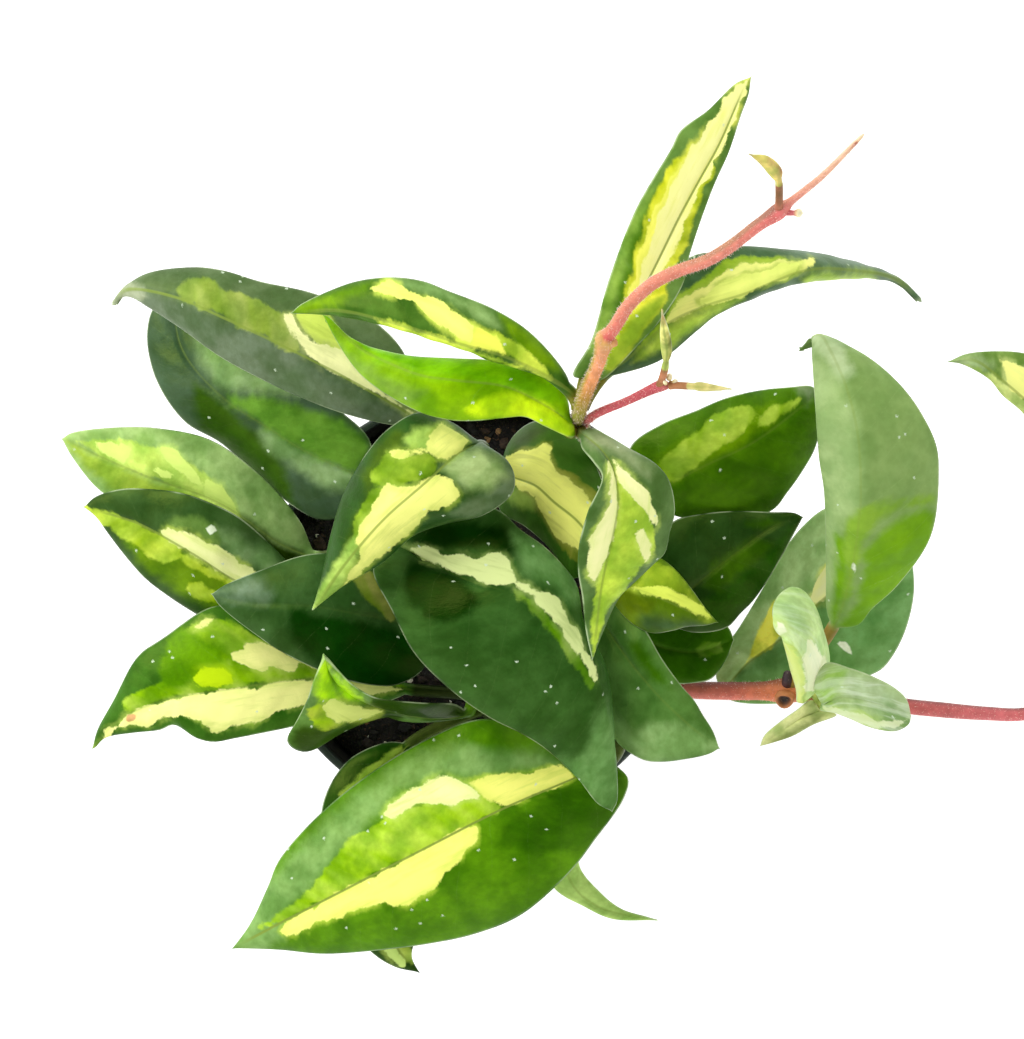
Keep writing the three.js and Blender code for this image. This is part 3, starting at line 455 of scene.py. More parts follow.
def hairs(rings, count, first, last, seed):
    """Short soft hairs: narrow three-sided spikes that stand out from a stem at random spots
    of its skin between two shares of its length. Points and faces of all of them."""
    draw = np.random.default_rng(seed)
    n, m = rings.shape[:2]
    i = draw.integers(int(first * (n - 1)), int(last * (n - 1)), count)
    j = draw.integers(0, m, count)
    root = rings[i, j] + (rings[i + 1, j] - rings[i, j]) * draw.random((count, 1))
    out = unit(rings[i, j] - rings[i].mean(1))
    along = unit(rings[i + 1].mean(1) - rings[i].mean(1))
    lean = unit(out + along * draw.normal(0.1, 0.35, (count, 1)) + draw.normal(0, 0.25, (count, 3)))
    side = unit(np.cross(lean, along))
    third = np.cross(lean, side)
    tall = HAIR_LENGTH * draw.uniform(0.4, 1, (count, 1))
    feet = [
        root - out * HAIR_ROOT + (side * np.cos(angle) + third * np.sin(angle)) * HAIR_RADIUS
        for angle in (0, 2.09, 4.19)
    ]
    points = np.stack([*feet, root + lean * tall], 1).reshape(-1, 3)
    base = 4 * np.arange(count)[:, None, None]
    faces = (np.array([[0, 1, 3], [1, 2, 3], [2, 0, 3], [2, 1, 0]])[None] + base).reshape(-1, 3)
    return points, faces


bark = Finish("stem_skin", 0.55)
at = bark.place()
mottle = bark.noise(at, 500.0, 4.0, 0.6)
fine = bark.noise(at, 2600.0, 3.0, 0.6)
shade = bark.blend(bark.step(mottle, 0.3, 0.72), (0.84, 0.8, 0.76, 1), (1.1, 1.1, 1.1, 1))
skin_tint = bark.blend(1.0, bark.fact("tint", "Color"), shade, "MULTIPLY")
bark.colour(
    bark.blend(
        bark.reckon("MULTIPLY", bark.step(fine, 0.62, 0.75), 0.35), skin_tint, paint(244, 200, 180)
    )
)
bark.relief(bark.reckon("ADD", mottle, fine), 0.35, 0.0005)

down = Finish("soft_hair", 0.7)
down.colour(paint(250, 226, 214))

STEM_GREEN = {0: paint(58, 60, 34), 2: paint(58, 70, 32), 3: paint(66, 84, 34)}
paths = {}


def stem(name, foot, path, swellings, colours, about, down_count=0, shaded_flanks=None, shade_from=0.0):
    """One stem, from a foot given as column, row and radius and a path of columns, rows, heights
    and radii: three points rise out of the soil at its foot, then the path is followed. Its
    radius goes evenly from point to point, plus a bell-shaped swelling at each leaf node."""
    column, row, foot_radius = foot
    x, y = seen([column, row, SOIL_TOP])[:2]
    rise = [[x, y, SOIL_TOP + z] for z in (-STEM_DEPTH, -2, 4)]
    path = np.asarray(path, float)
    points = np.vstack([rise, seen(path[:, :3])])
    radii = np.r_[[foot_radius] * 3, path[:, 3]]
    paths[name] = points
    build_stem(name, points, radii, swellings, colours, about, down_count, shaded_flanks, shade_from)


def build_stem(
    name, points, radii, swellings, colours, about, down_count, shaded_flanks=None, shade_from=0.0
):
    """The stem's skin, in rings 0.4 mm apart with the last four drawn in, and its down. Each
    swelling has its height and how far it reaches before and after its node. The flank colours
    are painted shade on the side that faces the back left, blended into the rest from where the
    skin leans that way past the given start."""
    length = course(points, [0])[1]
    shares = np.linspace(0, 1, int(length / RING_SPACING))
    places, length, share_of = course(points, shares)
    radius = np.interp(shares, share_of, radii)
    for index, (swelling, before, after) in swellings.items():
        past = (shares - share_of[index]) * length
        radius = radius + swelling * np.exp(-((past / np.where(past < 0, before, after)) ** 2))
    radius[-len(END_ROUNDING):] *= END_ROUNDING
    rings = tube(places, radius, STEM_SIDES, about)
    tint = np.repeat(mixed(colours, share_of, shares)[:, None], STEM_SIDES, 1)
    # Painted shade: darker colours on the side that faces the back left.
    if shaded_flanks:
        out = unit(rings - places[:, None])
        back_left = unit(np.array([-0.5, 0.8, 0.0]))
        lean = out @ back_left
        side = FLANK_SHADE_SHARE * np.clip((lean - shade_from) / FLANK_SHADE_FADE, 0, 1)[..., None]
        tint = tint * (1 - side) + mixed(shaded_flanks, share_of, shares)[:, None] * side
    piece = skin(name + "_skin", rings, {"tint": tint})
    piece.data.materials.append(bark.material)
    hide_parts(name)
    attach(piece, "root")
    if down_count:
        points, faces = hairs(rings, down_count, first=0.1, last=0.99, seed=21)
        mesh = bpy.data.meshes.new(name + "_down")
        mesh.from_pydata((points * MM).tolist(), [], faces.tolist())
        mesh.materials.append(down.material)
        fuzz = bpy.data.objects.new(name + "_down", mesh)
        bpy.context.scene.collection.objects.link(fuzz)
        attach(fuzz, "root")


stem(
    "stem_main", [598, 488, 2.2],
    [
        [603, 478, 104, 2.2], [601, 452, 127, 2.1], [580, 427, 143, 1.75], [580, 409, 159, 1.6],
        [588, 387, 171, 1.6], [599, 361, 180, 1.5], [606, 338, 186, 1.5], [614, 328, 189, 1.45],
        [629, 305, 194, 1.4], [655, 282, 199, 1.4], [683, 269, 202, 1.35], [706, 261, 204, 1.35],
        [731, 246, 206, 1.35], [757, 226, 208, 1.35], [779, 211, 209, 1.2], [790, 202, 209.5, 0.8],
        [821, 177, 211, 0.7], [856, 142, 213, 0.5], [864, 134, 214, 0.4],
    ],
    {5: (0.4, 3, 3), 9: (0.75, 3.6, 0.8), 17: (0.6, 3.2, 2.4)},
    {
        0: paint(58, 60, 34), 3: paint(76, 84, 40), 5: paint(104, 112, 16), 6: paint(156, 152, 46),
        6.7: paint(176, 138, 44), 7.4: paint(226, 148, 86), 8: paint(234, 154, 104),
        8.7: paint(222, 156, 104),
        9.1: paint(216, 168, 92), 9.35: paint(206, 86, 82), 10: paint(214, 110, 94),
        11: paint(214, 126, 102), 13: paint(220, 130, 108), 15: paint(224, 134, 114),
        16: paint(220, 120, 108), 17: paint(228, 116, 114), 18: paint(230, 146, 130),
        19: paint(240, 180, 150), 19.8: paint(240, 196, 160), 20: paint(176, 96, 76),
        20.3: paint(240, 206, 160), 21: paint(250, 236, 200),
    },
    about=(0.55, 0.75, 0.37), down_count=5200,
    # painted shade on the side that faces the back left
    shaded_flanks={
        0: paint(50, 56, 30), 5: paint(96, 104, 20), 7: paint(140, 132, 36),
        9: paint(176, 150, 60), 9.4: paint(206, 132, 100), 12: paint(206, 126, 98),
        14: paint(180, 120, 86), 15: paint(164, 114, 78), 17: paint(136, 88, 68),
        18: paint(196, 126, 100), 21: paint(240, 206, 170),
    },
    shade_from=-0.15,
)
stem(
    "stem_middle", [506, 484, 1.8],
    [[500, 480, 98, 1.7], [493, 472, 114, 1.6], [486, 459, 129, 1.5]], {4: (0.3, 3, 3)}, STEM_GREEN,
    about=(1, 0, 0),
)
stem(
    "stem_left", [400, 548, 2.1],
    [
        [392, 543, 97, 2], [376, 530, 112, 1.9], [384, 505, 118, 1.7], [402, 470, 122, 1.6],
        [418, 445, 126, 1.5],
    ],
    {3: (0.3, 3, 3), 4: (0.3, 3, 3)}, STEM_GREEN, about=(1, -0.4, 0),
)
stem(
    "stem_front", [490, 712, 2], [[486, 706, 96, 1.9], [474, 694, 106, 1.7], [466, 680, 114, 1.5]],
    {4: (0.3, 3, 3)}, STEM_GREEN, about=(1, 0, 0),
)
stem(
    "stem_low", [622, 702, 2], [[626, 712, 92, 1.8], [630, 722, 98, 1.7]], {}, STEM_GREEN,
    about=(1, 0, 0),
)
stem(
    "stem_right", [585, 602, 2.1],
    [[588, 598, 95, 2], [592, 590, 106, 1.8], [602, 566, 112, 1.6], [618, 530, 113, 1.5]],
    {4: (0.3, 3, 3)}, STEM_GREEN, about=(1, -0.3, 0),
)
stem(
    "vine_right", [600, 655, 2.2],
    [
        [612, 664, 92, 2.2], [640, 678, 96, 2.2], [685, 689, 100, 2.1], [733, 691, 102.5, 2.2],
        [785, 691, 104, 2.2], [812, 693, 104.5, 1.8], [840, 695, 105, 1.6], [905, 706, 105, 1.85],
        [943, 710, 104, 1.85], [987, 713.5, 103, 1.65], [1024, 714, 102, 1.55],
        [1072, 700, 101, 1.45], [1112, 655, 101, 1.4], [1132, 590, 102, 1.3],
        [1138, 530, 103, 1.2],
    ],
    {7: (0.9, 3.2, 3.2), 8: (0.4, 3.2, 3.2), 17: (0.5, 3.2, 3.2)},
    {
        0: paint(58, 60, 34), 3: paint(120, 70, 52), 5: paint(206, 110, 94), 6: paint(218, 112, 92),
        6.7: paint(222, 124, 78), 7.2: paint(212, 126, 72), 8: paint(176, 96, 60),
        9: paint(208, 98, 92), 11: paint(194, 94, 92), 12: paint(210, 106, 108),
        14: paint(200, 94, 92), 17: paint(150, 110, 76),
    },
    about=(0.1, 0.5, 0.85), down_count=2600,
    # painted shade on the side that faces the back left
    shaded_flanks={
        0: paint(58, 60, 34), 4: paint(124, 58, 50), 6: paint(122, 58, 50), 7: paint(140, 78, 48),
        9: paint(96, 44, 40), 12: paint(112, 46, 48), 17: paint(140, 90, 70),
    },
    shade_from=0.3,
)


def stand_off(points, index, towards, radius):
    """Where a shoot that starts on a stem's axis point leaves its skin."""
    start = points[index]
    return start + unit(np.asarray(towards) - start) * radius


shoot_path = np.array(
    [[598, 413, 160, 0.95], [627, 401, 166, 0.9], [660, 386, 172, 1.15], [668, 385, 174, 1]]
)
shoot_points = seen(shoot_path[:, :3])
shoot_start = stand_off(paths["stem_main"], 5, shoot_points[0], 0.8)
paths["shoot_side"] = np.vstack([shoot_start, shoot_points])
build_stem(
    "shoot_side", paths["shoot_side"], np.r_[shoot_path[0, 3], shoot_path[:, 3]],
    {0: (0.5, 3, 3), 3: (0.15, 3, 3)},
    {0: paint(190, 84, 84), 2: paint(204, 84, 94), 3: paint(190, 74, 86), 4: paint(196, 104, 96)},
    (0.1, 0.3, 0.95), 900,
)

# THE BUDS AND SCARS
# Small growths on the stems: a round scar with a raised lip where a leaf has dropped, a stub or
# pale buds where one has yet to come, and a thick node at the end of each short stem and of the
# right vine, out of which the last leaves' stalks grow.

SCAR_SIDES, BUD_RINGS, BUD_SIDES = 20, 24, 16
SCAR_PROFILE = np.array(
    [[0.02, -0.1], [0.3, -0.12], [0.55, 0.02], [0.72, 0.26], [0.86, 0.34], [1, 0.2], [1.04, -0.1],
     [0.9, -0.7], [0.02, -0.9]]
)
LIP_SHARES = np.array([0, 0, 0.2, 0.8, 1, 1, 1, 1, 1])


def scar(name, spot, facing, radius, shaded_hollow, lip):
    """A shallow dish turned about the direction that it faces, as a profile of radii and
    heights, with a dark inside, painted shade over the scar's own brown, and one colour on its lip."""
    facing = unit(np.array(facing, float))
    across = unit(np.cross(facing, [0.31, 0.83, 0.47]))
    third = np.cross(facing, across)
    angle = np.linspace(0, 2 * np.pi, SCAR_SIDES, endpoint=False)
    wobble = 1 + 0.08 * np.sin(3 * angle + radius)
    circle = (across[:, None] * np.cos(angle) + third[:, None] * np.sin(angle)) * wobble
    rings = SCAR_PROFILE[:, 0, None, None] * radius * circle.T[None]
    rings = rings + SCAR_PROFILE[:, 1, None, None] * radius * facing + seen(spot)
    share = LIP_SHARES[:, None, None]
    tint = np.array(shaded_hollow) * (1 - share) + np.array(lip) * share + np.zeros((1, SCAR_SIDES, 1))
    piece = skin(name, rings, {"tint": tint})
    piece.data.materials.append(bark.material)
    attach(piece, "root")


def bud(name, path, radii, colours):
    """A stub or a bud: a short tube along a few points, with its ends rounded by the root of
    one less the twelfth power of the distance from its middle."""
    shares = np.linspace(0, 1, BUD_RINGS)
    places, _, share_of = course(path, shares)
    ends = np.sqrt(np.clip(1 - (2 * shares - 1) ** 12, 0.02, 1))
    radius = np.interp(shares, share_of, radii) * ends
    rings = tube(places, radius, BUD_SIDES, (0.2, 0.4, 0.9))
    tint = np.repeat(mixed(colours, share_of, shares)[:, None], BUD_SIDES, 1)
    piece = skin(name, rings, {"tint": tint})
    piece.data.materials.append(bark.material)
    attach(piece, "root")


bud(
    "runner_stub",
    seen([[782, 211, 208.6], [788, 212.5, 209], [794, 213, 209.4], [797, 213, 209.6],
          [799.5, 213, 209.8], [803, 213, 210]]),
    [0.95, 0.7, 0.55, 0.85, 1.05, 0.5],
    {0: paint(222, 110, 116), 2: paint(206, 108, 110), 3: paint(230, 200, 150),
     4: paint(250, 246, 206), 5: paint(250, 246, 206)},
)
for number, (spot, lean, size) in enumerate(
    (((669, 379, 175.2), (1, -5, 2.2), 0.62), ((673, 383, 175), (4, -3, 1.6), 0.5),
     ((666, 384, 175.6), (-2, -3, 1.8), 0.42)), 1
):
    foot, tip = np.array(spot), np.array(spot) + lean
    bud(
        "pale_bud_%d" % number, seen([foot, (foot + tip) / 2, tip]),
        [size, size * 1.1, size * 0.5],
        {0: paint(206, 170, 110), 1: paint(246, 236, 180), 2: paint(252, 246, 210)},
    )
# The dark inside of the scar is painted shade in the cup.
scar(
    "vine_leaf_scar", [784.5, 699.5, 107.0], (-0.15, -0.6, 0.8), 2.3,
    paint(40, 24, 14), paint(196, 124, 70),
)
bud(
    "vine_stub", seen([[787, 686, 105.6], [787.5, 678, 107.4], [788, 671, 108.2]]),
    [1.4, 1.3, 0.9],
    {0: paint(84, 44, 44), 1: paint(52, 34, 40), 2: paint(64, 44, 50)},
)
bud(
    "node_scar_left", seen([[604, 343, 186], [599.5, 338, 186.8], [597.3, 335.4, 187]]),
    [1.25, 1.2, 0.9],
    {0: paint(214, 156, 92), 1: paint(224, 172, 108), 2: paint(206, 150, 92)},
)
bud(
    "node_scar_right", seen([[609, 343, 186], [614, 342.6, 186.2], [617.6, 342, 186.2]]),
    [1.25, 1, 0.7],
    {0: paint(214, 156, 92), 1: paint(222, 166, 100), 2: paint(196, 132, 76)},
)
for name in ("stem_middle", "stem_left", "stem_front", "stem_low", "stem_right", "vine_right"):
    end = paths[name][-1]
    way = unit(end - paths[name][-2])
    red = name == "vine_right"
    bud(
        name + "_end_node", end + way * np.array([-2.6, -1.2, 0.2, 1.6])[:, None],
        np.array([1.55, 1.85, 1.95, 1.75]) * (0.85 if red else 1),
        {0: paint(150, 100, 70) if red else paint(62, 78, 34), 3: paint(66, 82, 32)},
    )

# THE LEAVES
# Thick stiff waxy leaves, each grown in one piece with its petiole, which stands on a stem at a
# node. Green at the margins, with lime and cream patches in the middle that stop in small jags,
# and painted shade and a painted grey-green sheen where they are shaded or slope steeply.

PETIOLE_RADIUS, RIB_THICKNESS, EDGE_THICKNESS, LEAST_THICKNESS = 1.5, 1.5, 0.75, 0.62
YOUNG_SCALE, PETIOLE_FADE, TIP_HALF_WIDTH, TANGENT_SHARE = 0.55, 0.25, 0.12, 0.01
LEAF_RINGS, YOUNG_RINGS, PETIOLE_RINGS, MARGIN_WAVE = 88, 60, 12, 0.3
VEIN_SPACING, VEIN_SLANT, VEIN_HEIGHT = 7.5, 0.75, 0.11
GROOVE_DEPTH, GROOVE_WIDTH, RIDGE_HEIGHT, RIDGE_WIDTH = 0.3, 0.7, 0.4, 0.9
STALK_START, STALK_PAINT, FAR_FROM_EDGE, ANY_DEPTH = 0.7, 0.035, 9.0, 99.0
LOOP_SHARES = np.linspace(-1, 1, 49)
LOOP_SHARES = LOOP_SHARES - 0.06 * np.sin(2 * np.pi * LOOP_SHARES)
# The kinds of patch, in the order in which they are laid on, and how soft the edge of each is.
# The first kind is painted shade where a leaf lies under others or turns from the light, and on
# two leaves a painted sheen.
# The second kind is a painted grey-green sheen where a leaf slopes steeply, partly the wax's own
# bloom.
PATCH_EDGES = {
    "shade_and_sheen": 1.6, "sheen_and_bloom": 2.2, "fresh": 1.5, "lime": 0.5, "middle": 1.2, "yellow": 0.3,
    "cream": 0.26, "speck": 0.2,
}


def eased(values, share):
    """Values at even steps from 0 to 1, joined by half waves of a cosine."""
    values = np.asarray(values, float)
    place = np.clip(share, 0, 1) * (len(values) - 1)
    i = np.minimum(place.astype(int), len(values) - 2)
    t = (1 - np.cos(np.pi * (place - i))) / 2
    return values[i] * (1 - t) + values[i + 1] * t


def depth_inside(spots, outline):
    """How far spots lie inside an outline, in millimetres, and below zero outside it: the
    distance to the nearest side, with the sign from how many sides a level line crosses."""
    a = np.asarray(outline, float)
    side = np.roll(a, -1, 0) - a
    p = spots[:, None] - a
    t = np.clip((p * side).sum(-1) / (side ** 2).sum(-1), 0, 1)
    away = np.linalg.norm(p - t[..., None] * side, axis=-1).min(1)
    passes = (p[..., 1] < 0) != (p[..., 1] < side[:, 1])
    level = side[:, 0] * p[..., 1] - side[:, 1] * p[..., 0]
    crossed = passes & ((level > 0) == (side[:, 1] > 0))
    return np.where(crossed.sum(1) % 2 == 1, away, -away) * PIXEL


def leaf_finish(name, kinds, tones, gloss, rib_mark, mottling, shine, glow, streaks, veins):
    """The looks of one leaf: its green, then each kind of patch laid over it with an edge that
    is moved to and fro by noise drawn out along the side veins, then the midrib, the pale line
    at the margin, partly a painted highlight on the rounded edge, dust flecks, the petiole's
    colour, and a paler underside. glow is how far the rim of a cream patch turns to lime, shine
    how much the wax reflects, and rib_mark, mottling, streaks and veins how strongly the midrib,
    the cloudy green, pale lengthwise lines and the side veins show."""
    usual = {
        "fresh": (78, 136, 10), "lime": (160, 196, 34), "cream": (252, 250, 168),
        "speck": (216, 228, 204), "under": (120, 150, 96), "stalk": (66, 82, 32),
    }
    colour = {kind: paint(*value) for kind, value in {**usual, **tones}.items()}
    wax = Finish(name, gloss, Specular_IOR_Level=shine, Specular_Tint=(0.6, 0.8, 0.12, 1))
    plane = wax.fact("plane", "Vector")
    off_rib, along, leaf_number = wax.add("ShaderNodeSeparateXYZ", 0, {0: plane}).node.outputs
    aside = wax.reckon("ABSOLUTE", off_rib)
    vein = wax.reckon("MULTIPLY_ADD", aside, -VEIN_SLANT, along)
    by_vein, by_rib = wax.reckon("MULTIPLY", vein, 0.4), wax.reckon("MULTIPLY", off_rib, 0.16)
    slanted = wax.add("ShaderNodeCombineXYZ", 0, {0: by_vein, 1: by_rib, 2: leaf_number})
    streak = wax.noise(slanted, 1.0, 2.0)
    blotch = wax.noise(slanted, 0.42, 2.0)
    fine = wax.noise(plane, 1.5, 3.0, 0.6)
    broad = wax.noise(plane, 0.13, 3.0)
    mottle = wax.noise(plane, 0.45, 5.0, 0.62)
    narrow, slow = wax.reckon("MULTIPLY", off_rib, 0.5), wax.reckon("MULTIPLY", along, 0.07)
    lengthwise = wax.add("ShaderNodeCombineXYZ", 0, {0: narrow, 1: slow, 2: leaf_number})
    grain = wax.noise(lengthwise, 1.0, 3.0, 0.6)
    jag = wax.reckon("MULTIPLY_ADD", blotch, 3.6, -2.7)
    jag = wax.reckon("ADD", jag, wax.reckon("MULTIPLY", streak, 1.8))
    jag = wax.reckon("ADD", jag, wax.reckon("MULTIPLY_ADD", fine, 0.9, -0.45))
    low, high = (0.86, 0.87, 0.8, 1), (1.14, 1.12, 1.16, 1)
    shade = wax.blend(wax.step(mottle, 0.28, 0.74), low, high)
    low, high = (0.68, 0.78, 0.6, 1), (1.3, 1.2, 1.25, 1)
    cloud = wax.blend(wax.step(broad, 0.34, 0.66), low, high)
    shade = wax.blend(1.0, shade, cloud, "MULTIPLY")
    shade = wax.blend(mottling, (1, 1, 1, 1), shade)
    body = wax.blend(1.0, colour["tone"], shade, "MULTIPLY")
    # Two kinds of patch paint light: painted shade (a painted sheen on two leaves), and a painted
    # grey-green sheen on steep slopes, partly the wax's own bloom.
    for kind, soft in PATCH_EDGES.items():
        if kind not in kinds:
            continue
        sway = wax.reckon("MULTIPLY", jag, 0.25) if kind == "speck" else jag
        depth = wax.reckon("ADD", wax.fact(kind), sway)
        patch = colour[kind]
        if kind == "lime":
            darker = wax.blend(0.42, patch, colour["fresh"])
            lighter = wax.blend(0.12, patch, colour["cream"])
            patch = wax.blend(wax.step(blotch, 0.34, 0.66), darker, lighter)
            patch = wax.blend(1.0, patch, shade, "MULTIPLY")
        elif kind in ("yellow", "cream"):
            pale = wax.reckon("MULTIPLY", wax.step(grain, 0.48, 0.72), 0.26)
            patch = wax.blend(pale, patch, colour["lime"])
            within = wax.step(depth, 0.4, 2.6, glow, 0.0)
            within = wax.reckon("MULTIPLY", within, wax.step(blotch, 0.3, 0.6))
            patch = wax.blend(within, patch, colour["lime"])
            fringe = wax.step(depth, -1.6, 0.0, 0.0, 0.7)
            fringe = wax.reckon("MULTIPLY", fringe, wax.step(broad, 0.4, 0.6))
            body = wax.blend(fringe, body, wax.blend(0.3, colour["lime"], patch))
        else:
            patch = wax.blend(1.0, patch, shade, "MULTIPLY")
        body = wax.blend(wax.step(depth, -soft, soft), body, patch)
    drawn_lines = wax.reckon("MULTIPLY", wax.step(grain, 0.45, 0.62), streaks)
    body = wax.blend(drawn_lines, body, paint(228, 238, 214))
    length_left = wax.fact("to_tip")
    rib_line = wax.step(aside, 0.12, 0.42, 1.0, 0.0)
    rib_line = wax.reckon("MULTIPLY", rib_line, wax.step(length_left, 2.0, 9.0))
    body = wax.blend(wax.reckon("MULTIPLY", rib_line, rib_mark), body, paint(126, 146, 60))
    bent = wax.reckon("MULTIPLY_ADD", blotch, 1.6, wax.reckon("MULTIPLY", vein, 0.36))
    side_vein = wax.step(wax.reckon("ABSOLUTE", wax.reckon("SINE", bent)), 0.0, 0.07, 1.0, 0.0)
    side_vein = wax.reckon("MULTIPLY", side_vein, wax.step(fine, 0.35, 0.7))
    body = wax.blend(wax.reckon("MULTIPLY", side_vein, veins), body, paint(164, 190, 118))
    edge = wax.fact("edge")
    # A pale line along the margin, partly a painted highlight where the rounded edge catches light.
    rim_line_and_glint = wax.reckon("MULTIPLY", wax.step(edge, 0.1, 0.42, 0.62, 0.0), wax.step(broad, 0.36, 0.6))
    body = wax.blend(rim_line_and_glint, body, paint(186, 202, 160))
    spread = {"Vector": plane, "Scale": 0.19, "Randomness": 1.0}
    fleck = wax.add("ShaderNodeTexVoronoi", "Distance", spread, voronoi_dimensions="2D")
    chosen = wax.step(fleck.node.outputs["Color"], 0.7, 0.71)
    dust = wax.noise(plane, 3.6, 2.0, 0.7)
    size = wax.reckon("MULTIPLY_ADD", dust, 0.24, fleck)
    dot = wax.reckon("MULTIPLY", wax.step(size, 0.155, 0.19, 1.0, 0.0), chosen)
    body = wax.blend(wax.reckon("MULTIPLY", dot, 0.8), body, paint(206, 222, 196))
    upper = wax.step(wax.fact("upper"), 0.35, 0.65)
    under = wax.blend(1.0, colour["under"], shade, "MULTIPLY")
    below = wax.blend(0.4, under, body)
    body = wax.blend(upper, below, body)
    stalk = wax.blend(1.0, colour["stalk"], shade, "MULTIPLY")
    body = wax.blend(wax.fact("stalk"), body, stalk)
    wax.colour(body)
    wax.rough(wax.step(broad, 0.3, 0.7, gloss - 0.05, gloss + 0.08))
    wax.relief(wax.reckon("MULTIPLY_ADD", fine, 0.12, mottle), 0.3, 0.0005)
    return wax.material


def leaf(
    name, on, rib, left, right, lift, tones, marks=(), *, seed, young=False, cup=0.07, gloss=0.36,
    rib_mark=0.7, mottling=1.0, shine=0.3, glow=0.22, streaks=0.0, veins=0.06,
):
    """One leaf. Its midrib is a curve from the node to the tip, and a margin on each side is a
    curve of its own, as far above or below the rib as lift says at each quarter. A section runs
    from margin to margin over the rib and back below: each half is bowed by a parabola, thick
    at the rib and rounded at the edge, and round at the petiole. Side veins lift it in waves,
    and the rib is a groove above and a ridge below. on is the stem and the point of its path
    that it grows from, tones are its paints, and marks its patches: each a kind of paint, the
    half that it is kept to, and its outline in columns and rows."""
    scale = YOUNG_SCALE if young else 1.0
    radius = PETIOLE_RADIUS * scale
    even = np.linspace(0, 1, YOUNG_RINGS if young else LEAF_RINGS)
    rib_share = 0.5 * even + 0.25 * (1 - np.cos(np.pi * even))
    ribs = seen(rib)
    start = stand_off(paths[on[0]], on[1], ribs[0], STALK_START)
    chain = np.vstack([start, ribs])
    centre, length, _ = course(chain, rib_share, first=1)
    ahead = course(chain, np.minimum(1, rib_share + TANGENT_SHARE), first=1)[0]
    forward = unit(ahead - course(chain, np.maximum(0, rib_share - TANGENT_SHARE), first=1)[0])
    level = unit(np.stack([forward[:, 1], -forward[:, 0], 0 * rib_share], -1))
    least = eased([radius, TIP_HALF_WIDTH * scale], rib_share)
    reach, normal = [], []
    for side, margin, rise in ((-1, left, lift[0]), (1, right, lift[1])):
        spot = course(np.vstack([rib[0][:2], margin, rib[-1][:2]]), rib_share)[0]
        wave = MARGIN_WAVE * scale * np.sin(2 * np.pi * (rib_share * 4.3 + side * 0.17 + seed))
        wave = wave * np.sin(np.pi * rib_share)
        height = centre[:, 2] + eased([0, *rise, 0], rib_share) + wave
        out = seen(np.column_stack([spot, height])) - centre
        missing = np.maximum(0, least - np.linalg.norm(out, axis=1))
        out = out + level * (side * missing)[:, None]
        reach.append(out)
        normal.append(unit(np.cross(out, forward) * side))

    # The petiole's rings, swollen at the node, come before the blade's.
    foot_shares = np.linspace(0, 1, PETIOLE_RINGS, endpoint=False)
    petiole, stalk_length, _ = course(chain, foot_shares, last=1)
    way = unit(np.gradient(np.vstack([petiole, centre[:2]]), axis=0))[:PETIOLE_RINGS]
    across = unit(level[0] - (way @ level[0])[:, None] * way)
    swell = radius * (1 + 0.22 * np.exp(-((np.arange(PETIOLE_RINGS) / 2.2) ** 2)))[:, None]
    centre = np.vstack([petiole, centre])
    reach = [np.vstack([across * swell * side, out]) for side, out in zip((-1, 1), reach)]
    up = np.cross(across, way)
    normal = [np.vstack([up, half]) for half in normal]
    along = np.r_[np.linspace(-stalk_length, 0, PETIOLE_RINGS, endpoint=False), rib_share * length]
    rib_share = np.r_[np.zeros(PETIOLE_RINGS), rib_share]

    # A section goes from the left margin over the top to the right one and back below.
    sideways = np.r_[LOOP_SHARES, LOOP_SHARES[::-1][1:-1]]
    face = np.r_[np.ones(len(LOOP_SHARES)), -np.ones(len(LOOP_SHARES) - 2)]
    share = np.abs(sideways)
    width = np.stack([np.linalg.norm(out, axis=1) for out in reach])
    broad = np.where(sideways < 0, width[0][:, None], width[1][:, None])
    turned = np.clip((sideways + 0.2) / 0.4, 0, 1)
    turned = (turned * turned * (3 - 2 * turned))[:, None]
    facing = unit(normal[0][:, None] * (1 - turned) + normal[1][:, None] * turned)
    outward = np.where((sideways < 0)[:, None], reach[0][:, None], reach[1][:, None])
    roundness = np.clip(1 - rib_share / 0.1, 0, 1)[:, None] ** 2
    slim = np.minimum(1, rib_share / PETIOLE_FADE)[:, None]
    edge_thick = max(LEAST_THICKNESS, EDGE_THICKNESS * scale)
    rib_thick = np.maximum(2 * radius * (1 - slim) + RIB_THICKNESS * scale * slim, edge_thick)
    flat_half = (rib_thick * (1 - share) + edge_thick * share) / 2 * np.sqrt(1 - share ** 6)
    round_half = radius * np.sqrt(np.clip(1 - share ** 2, 0, 1))
    half = roundness * round_half + (1 - roundness) * flat_half
    off_rib = share * broad
    grown = (1 - roundness) * np.clip((1 - rib_share[:, None]) * 6, 0, 1) * scale
    vein = along[:, None] - VEIN_SLANT * off_rib
    vein_wave = np.sin(2 * np.pi * vein / VEIN_SPACING + seed * 9)
    bow = cup * 4 * share * (1 - share) * broad * (rib_share > 0)[:, None]
    bow = bow + VEIN_HEIGHT * grown * vein_wave * np.sin(np.pi * share)
    groove = -GROOVE_DEPTH * grown * np.exp(-((off_rib / GROOVE_WIDTH) ** 2))
    ridge = -RIDGE_HEIGHT * grown * np.exp(-((off_rib / RIDGE_WIDTH) ** 2))
    sheet = centre[:, None] + outward * share[:, None] + facing * bow[..., None]
    offset = face * half + np.where(face > 0, groove, ridge)
    rings = sheet + facing * offset[..., None]

